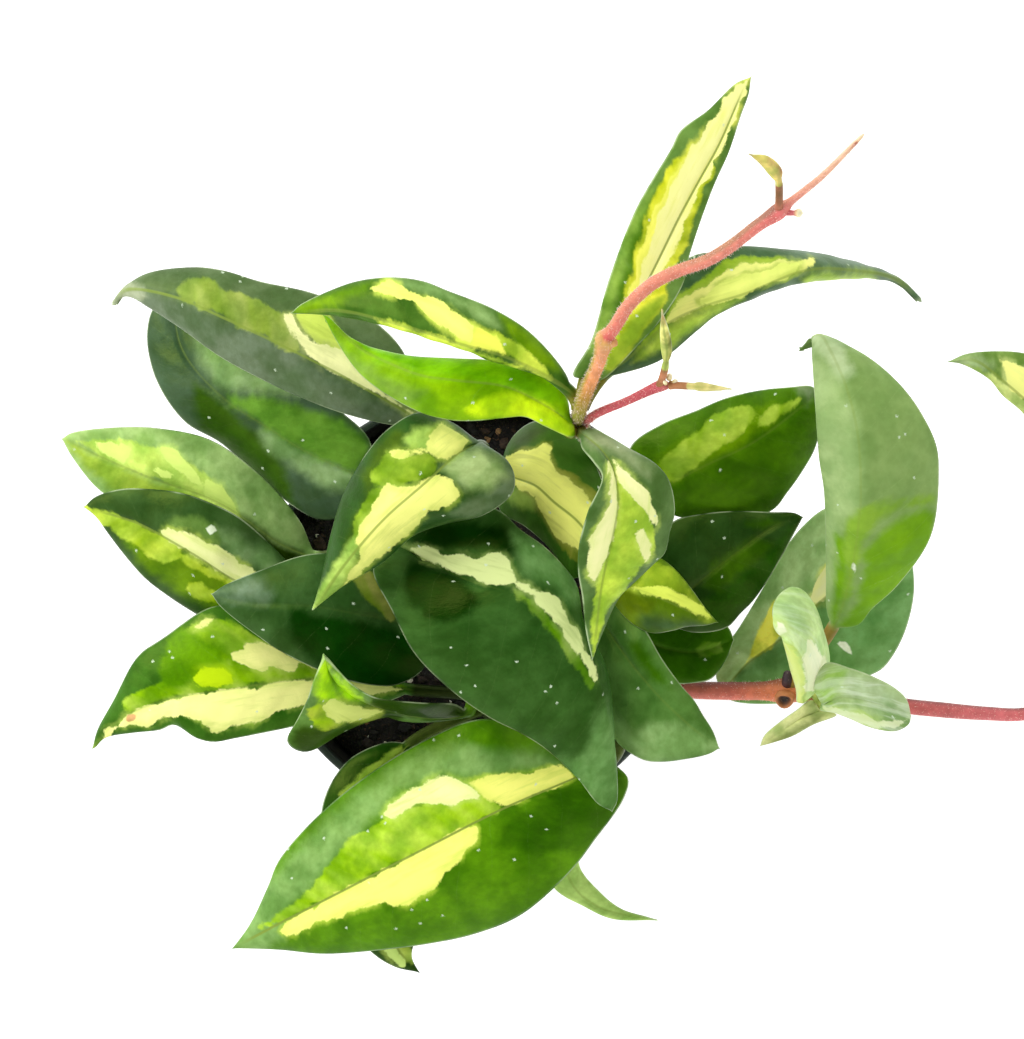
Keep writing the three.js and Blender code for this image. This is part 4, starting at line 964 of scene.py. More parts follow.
    # What the finish reads at each point: its place on the flat blade, how far it is from the
    # margin and the tip, and how deep it lies in each kind of patch.
    spots = drawn(sheet).reshape(-1, 2)
    beside = (sideways * broad).ravel()
    zero = 0 * broad
    facts = {
        "plane": np.stack([sideways * broad, along[:, None] + zero, zero + 31 * seed], -1),
        "edge": np.where(rib_share[:, None] > 0, (1 - share) * broad, FAR_FROM_EDGE),
        "upper": zero + np.where(share > 0.999, 0.5, (face + 1) / 2),
        "to_tip": length - along[:, None] + zero,
        "stalk": zero + np.clip(1 - rib_share[:, None] / STALK_PAINT, 0, 1) ** 1.5,
    }
    for kind in PATCH_EDGES:
        outlines = [(half_side, outline) for k, half_side, outline in marks if k == kind]
        depths = [
            np.minimum(depth_inside(spots, outline), beside * half_side if half_side else ANY_DEPTH)
            for half_side, outline in outlines
        ]
        if depths:
            facts[kind] = np.max(depths, axis=0)
    piece = skin(name + "_blade", rings, facts)
    kinds = {k for k, _, _ in marks}
    looks = gloss, rib_mark, mottling, shine, glow, streaks, veins
    finish = leaf_finish(name + "_looks", kinds, tones, *looks)
    piece.data.materials.append(finish)
    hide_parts(name)
    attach(piece, "root")


# The half of a blade that a patch is kept to
LEFT, BOTH, RIGHT = -1, 0, 1

leaf(
    "leaf_upper_left_folded", ("stem_left", 7),
    [[424, 426, 131], [406, 412, 135], [363, 387, 141], [304, 356, 144], [222, 317, 143],
     [175, 297, 139], [127, 290, 133], [114, 304, 128]],
    [[392, 425], [345, 414], [304, 399], [273, 385], [222, 358], [180, 328], [151, 309],
     [126, 295]],
    [[418, 398], [403, 351], [371, 319], [316, 294], [259, 281], [222, 270], [190, 267],
     [141, 276]],
    [[-3, -6, -3], [-3, -4, -3]],
    {"tone": (78, 101, 64), "lime": (110, 137, 40), "sheen_and_bloom": (89, 108, 83),
     "fresh": (120, 146, 56), "yellow": (198, 217, 93), "cream": (247, 247, 176),
     "middle": (146, 160, 128)},
    [
        ("middle", BOTH, [(112, 306), (118, 292), (130, 285), (142, 287), (150, 296), (138, 303),
                          (124, 300)]),
        ("sheen_and_bloom", LEFT, [(120, 280), (240, 310), (440, 410), (440, 450), (300, 420), (160, 330),
                         (120, 300)]),
        ("lime", RIGHT, [(178, 291), (190, 280), (202, 276), (215, 279), (222, 290), (245, 295),
                         (262, 302), (285, 316), (296, 335), (304, 354), (285, 350), (262, 338),
                         (240, 328), (218, 318), (200, 310), (186, 302)]),
        ("cream", RIGHT, [(284, 317), (292, 312), (302, 330), (318, 345), (340, 352), (352, 356),
                          (366, 376), (392, 398), (414, 414), (404, 412), (370, 393), (340, 377),
                          (309, 363), (298, 344)]),
        ("yellow", RIGHT, [(290, 314), (300, 308), (318, 306), (328, 316), (342, 340), (354, 356),
                           (340, 354), (318, 346), (302, 331)]),
    ],
    seed=0.1,
)
leaf(
    "leaf_upper_left_under", ("stem_left", 5),
    [[372, 482, 108], [353, 473, 109], [302, 449, 109], [268, 427, 108], [222, 396, 106],
     [184, 352, 103], [172, 300, 100]],
    [[352, 512], [321, 520], [279, 496], [222, 444], [184, 421], [155, 377], [147, 332],
     [155, 306]],
    [[370, 441], [343, 413], [290, 378], [240, 335], [200, 300]],
    [[-4, -6, -3], [2, 3, 1]],
    {"tone": (57, 82, 59), "fresh": (92, 140, 44), "shade_and_sheen": (42, 78, 6), "sheen_and_bloom": (120, 152, 98)},
    [
        ("sheen_and_bloom", LEFT, [(262, 430), (300, 440), (345, 454), (358, 470), (350, 488), (326, 488),
                         (300, 468), (268, 446)]),
        ("sheen_and_bloom", RIGHT, [(196, 330), (240, 350), (300, 382), (300, 392), (240, 392), (214, 384),
                          (200, 360)]),
        ("fresh", RIGHT, [(228, 396), (260, 396), (300, 408), (345, 420), (372, 446), (356, 470),
                          (300, 450), (262, 428), (235, 412)]),
        ("shade_and_sheen", BOTH, [(196, 384), (225, 402), (250, 424), (275, 450), (290, 480), (300, 512),
                        (270, 492), (235, 457), (205, 432), (196, 410)]),
        ("sheen_and_bloom", RIGHT, [(200, 398), (216, 396), (224, 410), (212, 416), (202, 412)]),
    ],
    seed=0.2, rib_mark=0.15,
)
leaf(
    "leaf_left_high", ("stem_left", 4),
    [[322, 557, 101], [282, 544, 104], [243, 517, 107], [211, 499, 108], [146, 476, 107],
     [104, 458, 105], [62, 439, 103]],
    [[296, 572], [255, 562], [200, 534], [150, 512], [103, 493], [72, 457]],
    [[314, 551], [300, 521], [261, 476], [211, 440], [157, 428], [121, 427], [71, 433]],
    [[-3, -3, -2], [1, 1, 0]],
    {"tone": (145, 180, 107), "lime": (191, 223, 104), "cream": (221, 245, 126),
     "fresh": (150, 181, 62), "shade_and_sheen": (32, 56, 2), "sheen_and_bloom": (126, 159, 92)},
    [
        ("sheen_and_bloom", RIGHT, [(150, 424), (211, 436), (265, 474), (304, 519), (318, 553), (292, 540),
                          (262, 506), (236, 480), (205, 458), (170, 442)]),
        ("lime", RIGHT, [(78, 441), (100, 439), (130, 441), (150, 447), (175, 454), (198, 468),
                         (218, 486), (238, 514), (215, 506), (190, 494), (160, 484), (130, 472),
                         (105, 460)]),
        ("fresh", LEFT, [(68, 441), (100, 455), (140, 472), (180, 486), (215, 500), (240, 516),
                         (205, 512), (150, 496), (110, 486), (86, 468)]),
        ("shade_and_sheen", LEFT, [(215, 500), (245, 512), (282, 532), (320, 556), (292, 566), (255, 552),
                        (220, 524)]),
        ("cream", RIGHT, [(96, 442), (112, 442), (132, 448), (130, 456), (125, 463), (112, 458),
                          (99, 449)]),
        ("cream", RIGHT, [(162, 449), (175, 447), (186, 460), (199, 475), (202, 486), (190, 480),
                          (177, 467), (167, 458)]),
        ("cream", RIGHT, [(205, 480), (222, 484), (233, 502), (238, 514), (227, 514), (214, 503),
                          (206, 493)]),
        ("cream", RIGHT, [(148, 469), (159, 467), (173, 475), (164, 480)]),
    ],
    seed=0.3, rib_mark=0.4,
)
leaf(
    "leaf_left_middle", ("stem_left", 3),
    [[292, 602, 104], [237, 581, 108], [193, 553, 111], [136, 522, 110], [84, 507, 107]],
    [[265, 632], [230, 630], [196, 614], [148, 581], [130, 562], [109, 535], [96, 517]],
    [[300, 580], [284, 558], [239, 517], [211, 503], [182, 493], [150, 489], [121, 489],
     [95, 497]],
    [[-4, -6, -3], [2, 4, 2]],
    {"tone": (48, 80, 35), "lime": (167, 198, 26), "fresh": (89, 127, 10),
     "cream": (240, 244, 168), "sheen_and_bloom": (118, 152, 96), "middle": (92, 126, 56)},
    [
        ("sheen_and_bloom", RIGHT, [(216, 530), (240, 536), (262, 548), (284, 566), (268, 572), (246, 563),
                          (226, 552)]),
        ("middle", RIGHT, [(164, 526), (176, 516), (196, 516), (212, 526), (218, 540), (206, 540),
                           (192, 529), (176, 528)]),
        ("cream", RIGHT, [(163, 532), (168, 529), (176, 530), (186, 531), (195, 537), (203, 542),
                          (209, 545), (216, 547), (227, 552), (234, 558), (238, 565), (252, 568),
                          (260, 575), (270, 594), (245, 588), (215, 572), (195, 560), (178, 548)]),
        ("fresh", LEFT, [(120, 524), (160, 535), (200, 560), (236, 580), (262, 600), (240, 620),
                         (206, 608), (176, 590), (150, 570), (128, 548)]),
        ("lime", LEFT, [(88, 508), (110, 510), (136, 520), (165, 536), (182, 548), (180, 556),
                        (165, 560), (152, 556), (140, 548), (126, 538), (108, 526), (97, 518)]),
        ("lime", LEFT, [(180, 552), (200, 562), (222, 574), (240, 584), (226, 582), (206, 574),
                        (188, 566)]),
        ("lime", LEFT, [(186, 580), (200, 580), (214, 590), (222, 602), (206, 604), (192, 596)]),
        ("speck", RIGHT, [(206, 528), (212, 524), (217, 529), (211, 534)]),
    ],
    seed=0.4,
)
leaf(
    "leaf_left_low", ("stem_front", 4),
    [[415, 690, 101], [370, 684, 105], [309, 679, 109], [237, 688, 112], [163, 701, 110],
     [118, 721, 106], [93, 748, 101]],
    [[395, 699], [350, 714], [292, 727], [237, 738], [213, 742], [196, 738], [174, 725],
     [160, 730], [133, 733], [105, 738]],
    [[395, 678], [350, 660], [300, 632], [238, 607], [211, 607], [163, 638], [138, 656],
     [113, 701], [97, 731]],
    [[-1, -2, 0], [-1, -2, -1]],
    # The petiole's near-black green is painted shade: it lies in shadow under the leaves.
    {"tone": (51, 100, 22), "lime": (127, 174, 2), "fresh": (96, 148, 0),
     "cream": (247, 247, 153), "speck": (206, 160, 110), "stalk": (26, 40, 12),
     "middle": (88, 140, 0), "yellow": (190, 222, 20)},
    [
        ("lime", RIGHT, [(122, 704), (136, 690), (166, 678), (164, 662), (168, 648), (180, 634),
                         (198, 622), (226, 618), (252, 636), (290, 656), (360, 676), (415, 688),
                         (310, 684), (240, 690), (200, 698), (160, 706), (130, 714)]),
        ("middle", RIGHT, [(160, 690), (162, 660), (168, 640), (180, 628), (196, 632), (208, 640),
                           (226, 646), (224, 664), (198, 666), (190, 682), (174, 690)]),
        ("yellow", RIGHT, [(192, 680), (198, 668), (222, 667), (232, 674), (232, 684), (214, 687),
                           (200, 688)]),
        ("cream", LEFT, [(94, 748), (110, 720), (130, 706), (160, 698), (200, 690), (240, 682),
                         (310, 676), (370, 682), (404, 690), (360, 694), (322, 700), (300, 706),
                         (280, 713), (255, 721), (235, 728), (215, 730), (203, 722), (185, 717),
                         (165, 718), (150, 725), (130, 725), (112, 733), (100, 744)]),
        ("cream", RIGHT, [(229, 660), (231, 654), (243, 651), (245, 645), (267, 643), (287, 654),
                          (330, 668), (352, 680), (322, 677), (300, 664), (296, 671), (282, 672),
                          (276, 666), (254, 670), (240, 665)]),
        ("cream", RIGHT, [(192, 632), (199, 621), (214, 618), (206, 627)]),
        ("speck", BOTH, [(127, 716), (131, 713), (137, 714), (136, 719), (131, 722), (127, 720)]),
    ],
    seed=0.5, rib_mark=0.25,
)
leaf(
    "leaf_centre_left_dark", ("stem_front", 5),
    [[428, 636, 118], [393, 622, 121], [352, 613, 124], [314, 606, 125], [280, 604, 124],
     [245, 602, 122], [212, 594, 119]],
    [[424, 668], [400, 684], [379, 686], [336, 677], [280, 651], [259, 637], [220, 606]],
    [[415, 600], [385, 575], [355, 558], [327, 553], [300, 556], [261, 570], [225, 585]],
    [[-4, -5, -2], [-1, -2, -1]],
    {"tone": (45, 78, 34), "shade_and_sheen": (2, 46, 2), "sheen_and_bloom": (96, 120, 94), "lime": (90, 101, 14)},
    [
        ("sheen_and_bloom", RIGHT, [(205, 590), (240, 580), (264, 578), (272, 596), (262, 606), (230, 606)]),
        # The dark patch is painted shade on the half that turns away from the light.
        ("shade_and_sheen", LEFT, [(290, 606), (430, 636), (430, 690), (380, 690), (330, 680), (290, 640)]),
        ("lime", RIGHT, [(350, 578), (368, 571), (386, 577), (394, 592), (398, 612), (390, 620),
                         (378, 612), (364, 600)]),
    ],
    seed=0.6, rib_mark=0.04, shine=0.16,
)
leaf(
    "leaf_small_folded", ("stem_front", 4),
    [[468, 712, 109], [440, 716, 111], [411, 714, 114], [389, 708, 118], [366, 700, 122],
     [346, 688, 127], [332, 674, 134], [324, 656, 142]],
    [[440, 721], [400, 720], [375, 714], [355, 724], [332, 738], [314, 750], [303, 752],
     [291, 747], [287, 740], [298, 718], [307, 700], [314, 679]],
    [[455, 704], [432, 703], [400, 701], [374, 697], [352, 684], [340, 672], [329, 660]],
    [[-2, -4, -7], [7, 9, 6]],
    {"tone": (76, 116, 46), "shade_and_sheen": (33, 63, 2), "fresh": (163, 218, 2), "lime": (137, 164, 3),
     "cream": (224, 234, 130), "under": (92, 128, 70), "stalk": (84, 132, 16)},
    [
        # The two dark patches are painted shade where the stalk and the base lie in shadow.
        ("shade_and_sheen", RIGHT, [(372, 690), (480, 690), (480, 730), (372, 716)]),
        ("shade_and_sheen", LEFT, [(286, 742), (300, 722), (322, 728), (345, 724), (366, 704), (404, 708),
                        (400, 724), (370, 724), (340, 742), (304, 756)]),
        ("fresh", BOTH, [(334, 672), (350, 682), (366, 698), (348, 698), (336, 690)]),
        ("fresh", BOTH, [(322, 652), (330, 668), (336, 686), (338, 700), (326, 700), (317, 702),
                         (314, 688)]),
        ("cream", LEFT, [(321, 702), (330, 697), (345, 702), (362, 706), (382, 709), (368, 716),
                         (350, 719), (335, 722), (326, 713)]),
        ("lime", LEFT, [(308, 708), (318, 698), (324, 704), (328, 714), (340, 722), (325, 728),
                        (312, 724)]),
    ],
    seed=0.7, rib_mark=0.3,
)
leaf(
    "leaf_front_large", ("stem_low", 4),
    [[610, 762, 108], [573, 779, 112], [504, 808, 117], [433, 844, 118], [369, 877, 114],
     [280, 923, 105], [233, 948, 98]],
    [[628, 778], [624, 798], [594, 841], [570, 872], [521, 915], [475, 934], [434, 943],
     [382, 950], [323, 954], [280, 950]],
    [[585, 752], [522, 732], [497, 720], [474, 720], [443, 731], [382, 765], [323, 811],
     [279, 860], [268, 886], [250, 924]],
    [[-4, -7, -3], [-2, -4, -2]],
    {"tone": (75, 127, 6), "shade_and_sheen": (50, 99, 2), "sheen_and_bloom": (115, 156, 83), "lime": (150, 196, 2),
     "yellow": (252, 252, 128), "cream": (250, 252, 172), "fresh": (120, 170, 20)},
    [
        ("sheen_and_bloom", RIGHT, [(250, 925), (262, 892), (300, 846), (350, 800), (400, 764), (450, 742),
                          (500, 750), (540, 752), (572, 766), (530, 770), (480, 778), (440, 774),
                          (400, 792), (380, 812), (350, 850), (310, 890), (275, 924)]),
        ("shade_and_sheen", LEFT, [(504, 824), (534, 804), (575, 782), (622, 770), (632, 800), (610, 840),
                        (575, 850), (530, 852), (495, 846)]),
        ("sheen_and_bloom", BOTH, [(232, 950), (248, 922), (274, 904), (290, 914), (284, 938), (260, 952)]),
        ("lime", RIGHT, [(262, 926), (290, 905), (312, 889), (326, 867), (339, 850), (356, 838),
                         (378, 822), (402, 813), (425, 804), (450, 797), (480, 793), (497, 803),
                         (506, 811), (480, 826), (450, 840), (420, 854), (390, 870), (350, 890),
                         (310, 911), (280, 926)]),
        ("cream", RIGHT, [(385, 815), (391, 803), (398, 800), (404, 792), (420, 788), (430, 780),
                          (446, 775), (452, 778), (470, 786), (478, 796), (456, 806), (425, 802),
                          (412, 806), (402, 812), (397, 817)]),
        ("yellow", RIGHT, [(468, 783), (476, 780), (504, 773), (530, 774), (545, 768), (560, 764),
                           (576, 780), (545, 794), (520, 804), (508, 809), (500, 806), (485, 797)]),
        ("yellow", LEFT, [(280, 930), (300, 910), (340, 888), (369, 872), (400, 856), (433, 838),
                          (470, 822), (478, 828), (476, 842), (462, 852), (455, 864), (445, 870),
                          (438, 885), (430, 892), (420, 896), (410, 904), (395, 905), (382, 902),
                          (370, 906), (350, 910), (340, 915), (320, 922), (300, 933), (290, 935)]),
    ],
    seed=0.8, rib_mark=0.9,
)
leaf(
    "leaf_centre_dark", ("stem_left", 4),
    [[398, 545, 126], [425, 560, 131], [470, 581, 137], [520, 596, 140], [560, 625, 140],
     [590, 672, 137], [607, 740, 131], [612, 811, 125]],
    [[400, 512], [450, 498], [499, 510], [520, 529], [544, 546], [562, 564], [577, 585],
     [583, 620], [605, 663], [611, 696], [614, 739], [617, 772], [617, 802]],
    [[380, 558], [373, 570], [392, 611], [414, 653], [453, 692], [490, 718], [520, 733],
     [544, 748], [577, 778], [598, 804]],
    [[-3, -4, -2], [-5, -8, -4]],
    {"tone": (45, 83, 30), "shade_and_sheen": (0, 42, 0), "sheen_and_bloom": (94, 136, 74), "lime": (84, 126, 2),
     "cream": (210, 223, 149)},
    [
        # The two dark patches are painted shadow cast by the leaf above.
        ("shade_and_sheen", BOTH, [(410, 526), (470, 522), (512, 528), (520, 560), (500, 550), (450, 550),
                        (412, 544)]),
        ("shade_and_sheen", BOTH, [(410, 560), (430, 566), (452, 574), (470, 586), (480, 600), (468, 616),
                        (446, 622), (424, 618), (408, 604), (404, 580)]),
        ("sheen_and_bloom", LEFT, [(512, 532), (545, 545), (565, 565), (582, 600), (572, 606), (550, 586),
                         (525, 575)]),
        ("sheen_and_bloom", BOTH, [(596, 716), (604, 700), (618, 740), (620, 808), (600, 808), (570, 776),
                         (558, 758), (586, 752)]),
        ("lime", BOTH, [(514, 590), (535, 600), (560, 626), (578, 652), (594, 680), (597, 688),
                        (589, 690), (581, 676), (571, 660), (560, 644), (548, 630), (532, 610)]),
        ("cream", BOTH, [(408, 545), (425, 547), (440, 551), (450, 555), (466, 552), (470, 556),
                         (481, 557), (490, 554), (503, 554), (510, 566), (520, 583), (535, 590),
                         (551, 592), (560, 602), (570, 620), (577, 636), (590, 659), (597, 676),
                         (594, 684), (588, 674), (578, 655), (567, 637), (556, 626), (546, 614),
                         (535, 600), (519, 587), (500, 585), (486, 585), (478, 581), (468, 576),
                         (455, 572), (440, 565), (425, 560)]),
    ],
    seed=0.9, rib_mark=0.0, shine=0.16, glow=0.0,
)
leaf(
    "leaf_centre_arched", ("stem_middle", 5),
    [[480, 446, 141], [455, 457, 149], [423, 485, 153], [385, 518, 151], [349, 559, 145],
     [313, 609, 136]],
    [[507, 460], [515, 478], [512, 494], [484, 515], [446, 524], [415, 535], [382, 563],
     [343, 586]],
    [[455, 424], [420, 412], [389, 428], [368, 451], [344, 492], [331, 533], [322, 575]],
    [[-6, -6, -3], [-5, -6, -3]],
    {"tone": (32, 73, 23), "sheen_and_bloom": (154, 181, 115), "lime": (113, 158, 2),
     "fresh": (53, 84, 2), "cream": (244, 246, 135), "shade_and_sheen": (90, 112, 79),
     "middle": (158, 192, 88)},
    [
        # This patch is a painted sheen on the glossy bulge of the blade.
        ("shade_and_sheen", LEFT, [(496, 446), (520, 470), (516, 500), (470, 518), (452, 512), (470, 498),
                        (498, 484)]),
        ("sheen_and_bloom", LEFT, [(438, 466), (456, 456), (480, 452), (500, 462), (506, 476), (490, 488),
                         (468, 490), (450, 480)]),
        ("fresh", RIGHT, [(324, 594), (334, 570), (346, 545), (356, 520), (366, 496), (362, 476),
                          (372, 456), (384, 440), (396, 428), (404, 434), (400, 452), (380, 470),
                          (374, 494), (360, 530), (342, 568)]),
        ("lime", RIGHT, [(371, 472), (380, 459), (388, 452), (400, 458), (415, 457), (425, 452),
                         (433, 458), (438, 468), (431, 477), (418, 481), (405, 487), (395, 489),
                         (380, 487), (372, 483)]),
        ("middle", RIGHT, [(404, 440), (412, 428), (426, 426), (440, 427), (437, 440), (427, 452),
                           (412, 450)]),
        ("lime", BOTH, [(354, 538), (356, 524), (362, 506), (374, 486), (388, 490), (376, 520),
                        (366, 546)]),
        ("middle", BOTH, [(313, 609), (321, 590), (334, 568), (346, 548), (356, 536), (362, 544),
                          (354, 566), (346, 582), (336, 594), (322, 606)]),
        ("cream", BOTH, [(342, 586), (350, 571), (359, 556), (361, 547), (357, 541), (361, 530),
                         (369, 516), (376, 503), (382, 491), (387, 483), (400, 487), (414, 484),
                         (428, 479), (440, 473), (452, 480), (459, 494), (454, 503), (440, 507),
                         (427, 512), (415, 524), (403, 535), (385, 550), (367, 563), (352, 577)]),
        ("cream", RIGHT, [(389, 453), (398, 450), (410, 451), (420, 449), (429, 451), (424, 455),
                          (412, 455), (402, 459), (394, 457)]),
        ("cream", RIGHT, [(426, 445), (431, 434), (440, 424), (450, 429), (466, 442), (458, 453),
                          (448, 461), (438, 460), (427, 453)]),
    ],
    seed=1.0, rib_mark=0.75, glow=0.3,
)
leaf(
    "leaf_back_long", ("stem_main", 6),
    [[572, 394, 160], [555, 380, 163], [525, 364, 166], [494, 352, 168], [464, 344, 169],
     [411, 327, 168], [340, 310, 162], [292, 313, 156]],
    [[566, 389], [545, 377], [515, 367], [488, 360], [466, 349], [436, 340], [402, 329],
     [351, 318], [321, 314]],
    [[566, 374], [531, 333], [494, 309], [449, 291], [423, 281], [392, 277], [362, 280],
     [341, 286], [300, 305]],
    [[-3, -4, -2], [-2, -4, -2]],
    {"tone": (59, 100, 28), "fresh": (99, 141, 2), "sheen_and_bloom": (128, 163, 96),
     "lime": (198, 225, 69), "cream": (240, 244, 125), "yellow": (241, 244, 98),
     "stalk": (112, 112, 40)},
    [
        ("sheen_and_bloom", RIGHT, [(392, 280), (430, 284), (460, 296), (490, 312), (502, 330), (485, 326),
                          (465, 312), (445, 300), (420, 292), (400, 287)]),
        ("fresh", RIGHT, [(498, 312), (530, 332), (566, 374), (548, 368), (522, 352), (505, 335)]),
        ("fresh", BOTH, [(295, 310), (320, 296), (345, 286), (372, 282), (366, 294), (342, 306),
                         (312, 314)]),
        ("lime", RIGHT, [(462, 332), (496, 330), (512, 337), (524, 350), (538, 366), (556, 384),
                         (545, 378), (512, 362), (480, 350), (455, 340)]),
        ("cream", RIGHT, [(370, 289), (385, 283), (400, 287), (413, 296), (427, 299), (437, 300),
                          (449, 306), (455, 314), (464, 319), (475, 327), (470, 340), (450, 333),
                          (443, 328), (430, 318), (423, 312), (416, 302), (405, 300), (390, 294),
                          (378, 293)]),
        ("yellow", RIGHT, [(464, 320), (475, 326), (484, 329), (498, 335), (503, 345), (508, 355),
                           (520, 364), (495, 354), (475, 346), (460, 337)]),
        ("lime", LEFT, [(376, 316), (410, 326), (440, 336), (470, 347), (506, 358), (520, 366),
                        (490, 359), (462, 350), (430, 341), (400, 332), (380, 323)]),
    ],
    seed=1.1, rib_mark=0.5,
)
leaf(
    "leaf_back_bright", ("stem_main", 5),
    [[569, 431, 152], [564, 419, 154], [535, 399, 157], [504, 386, 159], [453, 380, 160],
     [423, 376, 159], [386, 362, 156], [362, 350, 153], [323, 315, 149]],
    [[573, 438], [544, 426], [525, 417], [504, 418], [474, 421], [449, 420], [419, 412],
     [378, 389], [358, 372], [337, 342]],
    [[570, 415], [566, 395], [551, 380], [521, 368], [490, 360], [453, 358], [406, 355],
     [362, 344], [341, 331]],
    [[-2, -4, -2], [0, -2, -1]],
    {"tone": (119, 170, 2), "fresh": (114, 180, 2), "lime": (226, 247, 4), "middle": (190, 228, 20),
     "sheen_and_bloom": (106, 147, 47),
     "stalk": (112, 112, 40)},
    [
        ("sheen_and_bloom", LEFT, [(326, 326), (350, 352), (380, 372), (405, 384), (425, 392), (410, 408),
                         (378, 388), (350, 362)]),
        ("fresh", RIGHT, [(350, 342), (400, 354), (450, 357), (500, 362), (555, 384), (566, 404),
                          (530, 396), (490, 384), (430, 376), (380, 360)]),
        ("middle", LEFT, [(468, 410), (484, 398), (510, 392), (540, 397), (572, 426), (566, 438),
                          (537, 424), (524, 418), (505, 419), (484, 415)]),
        ("lime", LEFT, [(536, 410), (552, 410), (574, 428), (566, 438), (548, 428)]),
        ("lime", LEFT, [(500, 406), (514, 400), (524, 406), (512, 412)]),
    ],
    seed=1.2, rib_mark=0.35,
)
leaf(
    "leaf_back_tall", ("stem_main", 6),
    [[586, 377, 164], [606, 340, 170], [642, 290, 176], [678, 218, 182], [698, 182, 184],
     [719, 144, 184], [744, 88, 181], [751, 77, 180]],
    [[573, 376], [591, 341], [609, 279], [634, 213], [652, 180], [671, 149], [680, 131],
     [708, 110], [736, 83]],
    [[599, 381], [642, 341], [662, 318], [683, 284], [690, 254], [713, 188], [729, 152],
     [741, 116], [749, 93]],
    [[2, 3, 2], [-1, -2, 0]],
    {"tone": (90, 127, 56), "lime": (209, 218, 27), "fresh": (70, 120, 2),
     "cream": (247, 247, 162), "sheen_and_bloom": (130, 170, 67), "yellow": (250, 250, 112),
     "middle": (142, 172, 44),
     "stalk": (112, 112, 40)},
    [
        ("sheen_and_bloom", LEFT, [(590, 350), (606, 290), (632, 220), (652, 190), (648, 214), (628, 262),
                         (612, 320), (600, 356)]),
        ("fresh", LEFT, [(600, 362), (614, 310), (628, 258), (644, 212), (660, 180), (664, 190),
                         (646, 236), (630, 290), (612, 344)]),
        ("lime", BOTH, [(672, 160), (655, 190), (645, 215), (640, 240), (632, 265), (626, 286),
                        (618, 320), (600, 362), (612, 366), (634, 348), (652, 322), (664, 296),
                        (676, 268), (690, 232), (698, 206), (706, 188), (716, 166), (700, 150)]),
        ("middle", BOTH, [(600, 364), (616, 338), (630, 318), (650, 304), (664, 296), (652, 322),
                          (634, 348), (612, 368)]),
        ("yellow", LEFT, [(690, 150), (676, 168), (664, 190), (651, 214), (643, 240), (636, 264),
                          (630, 286), (623, 312), (620, 326), (634, 312), (648, 288), (660, 250),
                          (668, 210), (684, 168)]),
        ("cream", BOTH, [(747, 80), (735, 88), (724, 99), (719, 112), (711, 119), (703, 128),
                         (696, 142), (686, 156), (677, 172), (670, 188), (661, 206), (653, 228),
                         (647, 250), (641, 270), (634, 292), (655, 284), (667, 264), (680, 240),
                         (684, 225), (692, 205), (700, 190), (712, 170), (722, 150), (730, 130),
                         (738, 110), (745, 94)]),
    ],
    seed=1.3, rib_mark=0.8, glow=0.2,
)
leaf(
    "leaf_back_right_arched", ("stem_main", 6),
    [[602, 377, 159], [627, 359, 163], [668, 323, 167], [706, 305, 169], [744, 293, 170],
     [805, 270, 168], [860, 271, 160], [898, 280, 151], [920, 301, 145]],
    [[600, 363], [625, 330], [655, 288], [692, 256], [719, 251], [739, 246], [782, 249],
     [820, 254], [884, 274], [905, 287]],
    [[620, 374], [661, 360], [698, 330], [719, 313], [764, 293], [795, 284], [833, 279],
     [866, 277], [892, 281]],
    [[-2, -3, -1], [-4, -6, -3]],
    {"tone": (60, 92, 62), "lime": (114, 156, 2), "fresh": (166, 199, 72),
     "cream": (232, 242, 125), "sheen_and_bloom": (95, 119, 98), "yellow": (247, 247, 142),
     "stalk": (112, 112, 40)},
    [
        ("sheen_and_bloom", BOTH, [(800, 250), (860, 262), (900, 280), (924, 304), (890, 282), (850, 274),
                         (812, 270), (780, 282), (770, 278)]),
        ("fresh", RIGHT, [(632, 362), (665, 326), (700, 310), (740, 296), (712, 316), (680, 338),
                          (655, 350)]),
        ("fresh", RIGHT, [(800, 276), (830, 270), (870, 274), (880, 282), (840, 284), (806, 286)]),
        ("lime", LEFT, [(640, 348), (664, 318), (690, 286), (722, 264), (745, 259), (768, 257),
                        (790, 264), (760, 284), (700, 306), (668, 326)]),
        ("yellow", LEFT, [(664, 324), (680, 302), (700, 288), (722, 277), (745, 266), (768, 263),
                          (790, 264), (812, 263), (800, 272), (780, 284), (750, 294), (720, 304),
                          (695, 312), (672, 326)]),
        ("cream", LEFT, [(700, 300), (725, 284), (760, 272), (800, 264), (790, 276), (760, 288),
                         (725, 300), (704, 308)]),
    ],
    seed=1.4, rib_mark=0.5, glow=0.2,
)
leaf(
    "leaf_right_back", ("stem_right", 6),
    [[642, 497, 118], [670, 483, 121], [708, 464, 124], [752, 443, 125], [802, 406, 122],
     [818, 392, 120]],
    [[630, 470], [631, 446], [662, 424], [695, 411], [726, 398], [761, 390], [790, 387],
     [811, 386]],
    [[665, 512], [705, 522], [745, 520], [774, 509], [787, 493], [802, 472], [816, 446],
     [821, 412]],
    [[-2, -3, -2], [-5, -6, -4]],
    {"tone": (60, 105, 2), "lime": (136, 176, 8), "fresh": (92, 134, 2),
     "sheen_and_bloom": (111, 131, 96)},
    [
        ("sheen_and_bloom", LEFT, [(800, 388), (816, 386), (822, 400), (808, 404)]),
        ("fresh", LEFT, [(648, 478), (658, 458), (690, 436), (730, 412), (762, 408), (790, 406),
                         (770, 426), (720, 456), (674, 488)]),
        ("lime", LEFT, [(652, 474), (660, 460), (678, 447), (697, 431), (715, 414), (735, 408),
                        (750, 406), (755, 413), (752, 422), (737, 436), (716, 450), (698, 464),
                        (682, 478), (662, 484)]),
        ("lime", LEFT, [(760, 418), (780, 406), (801, 399), (791, 410), (773, 422), (758, 428)]),
    ],
    seed=1.5, rib_mark=0.15,
)
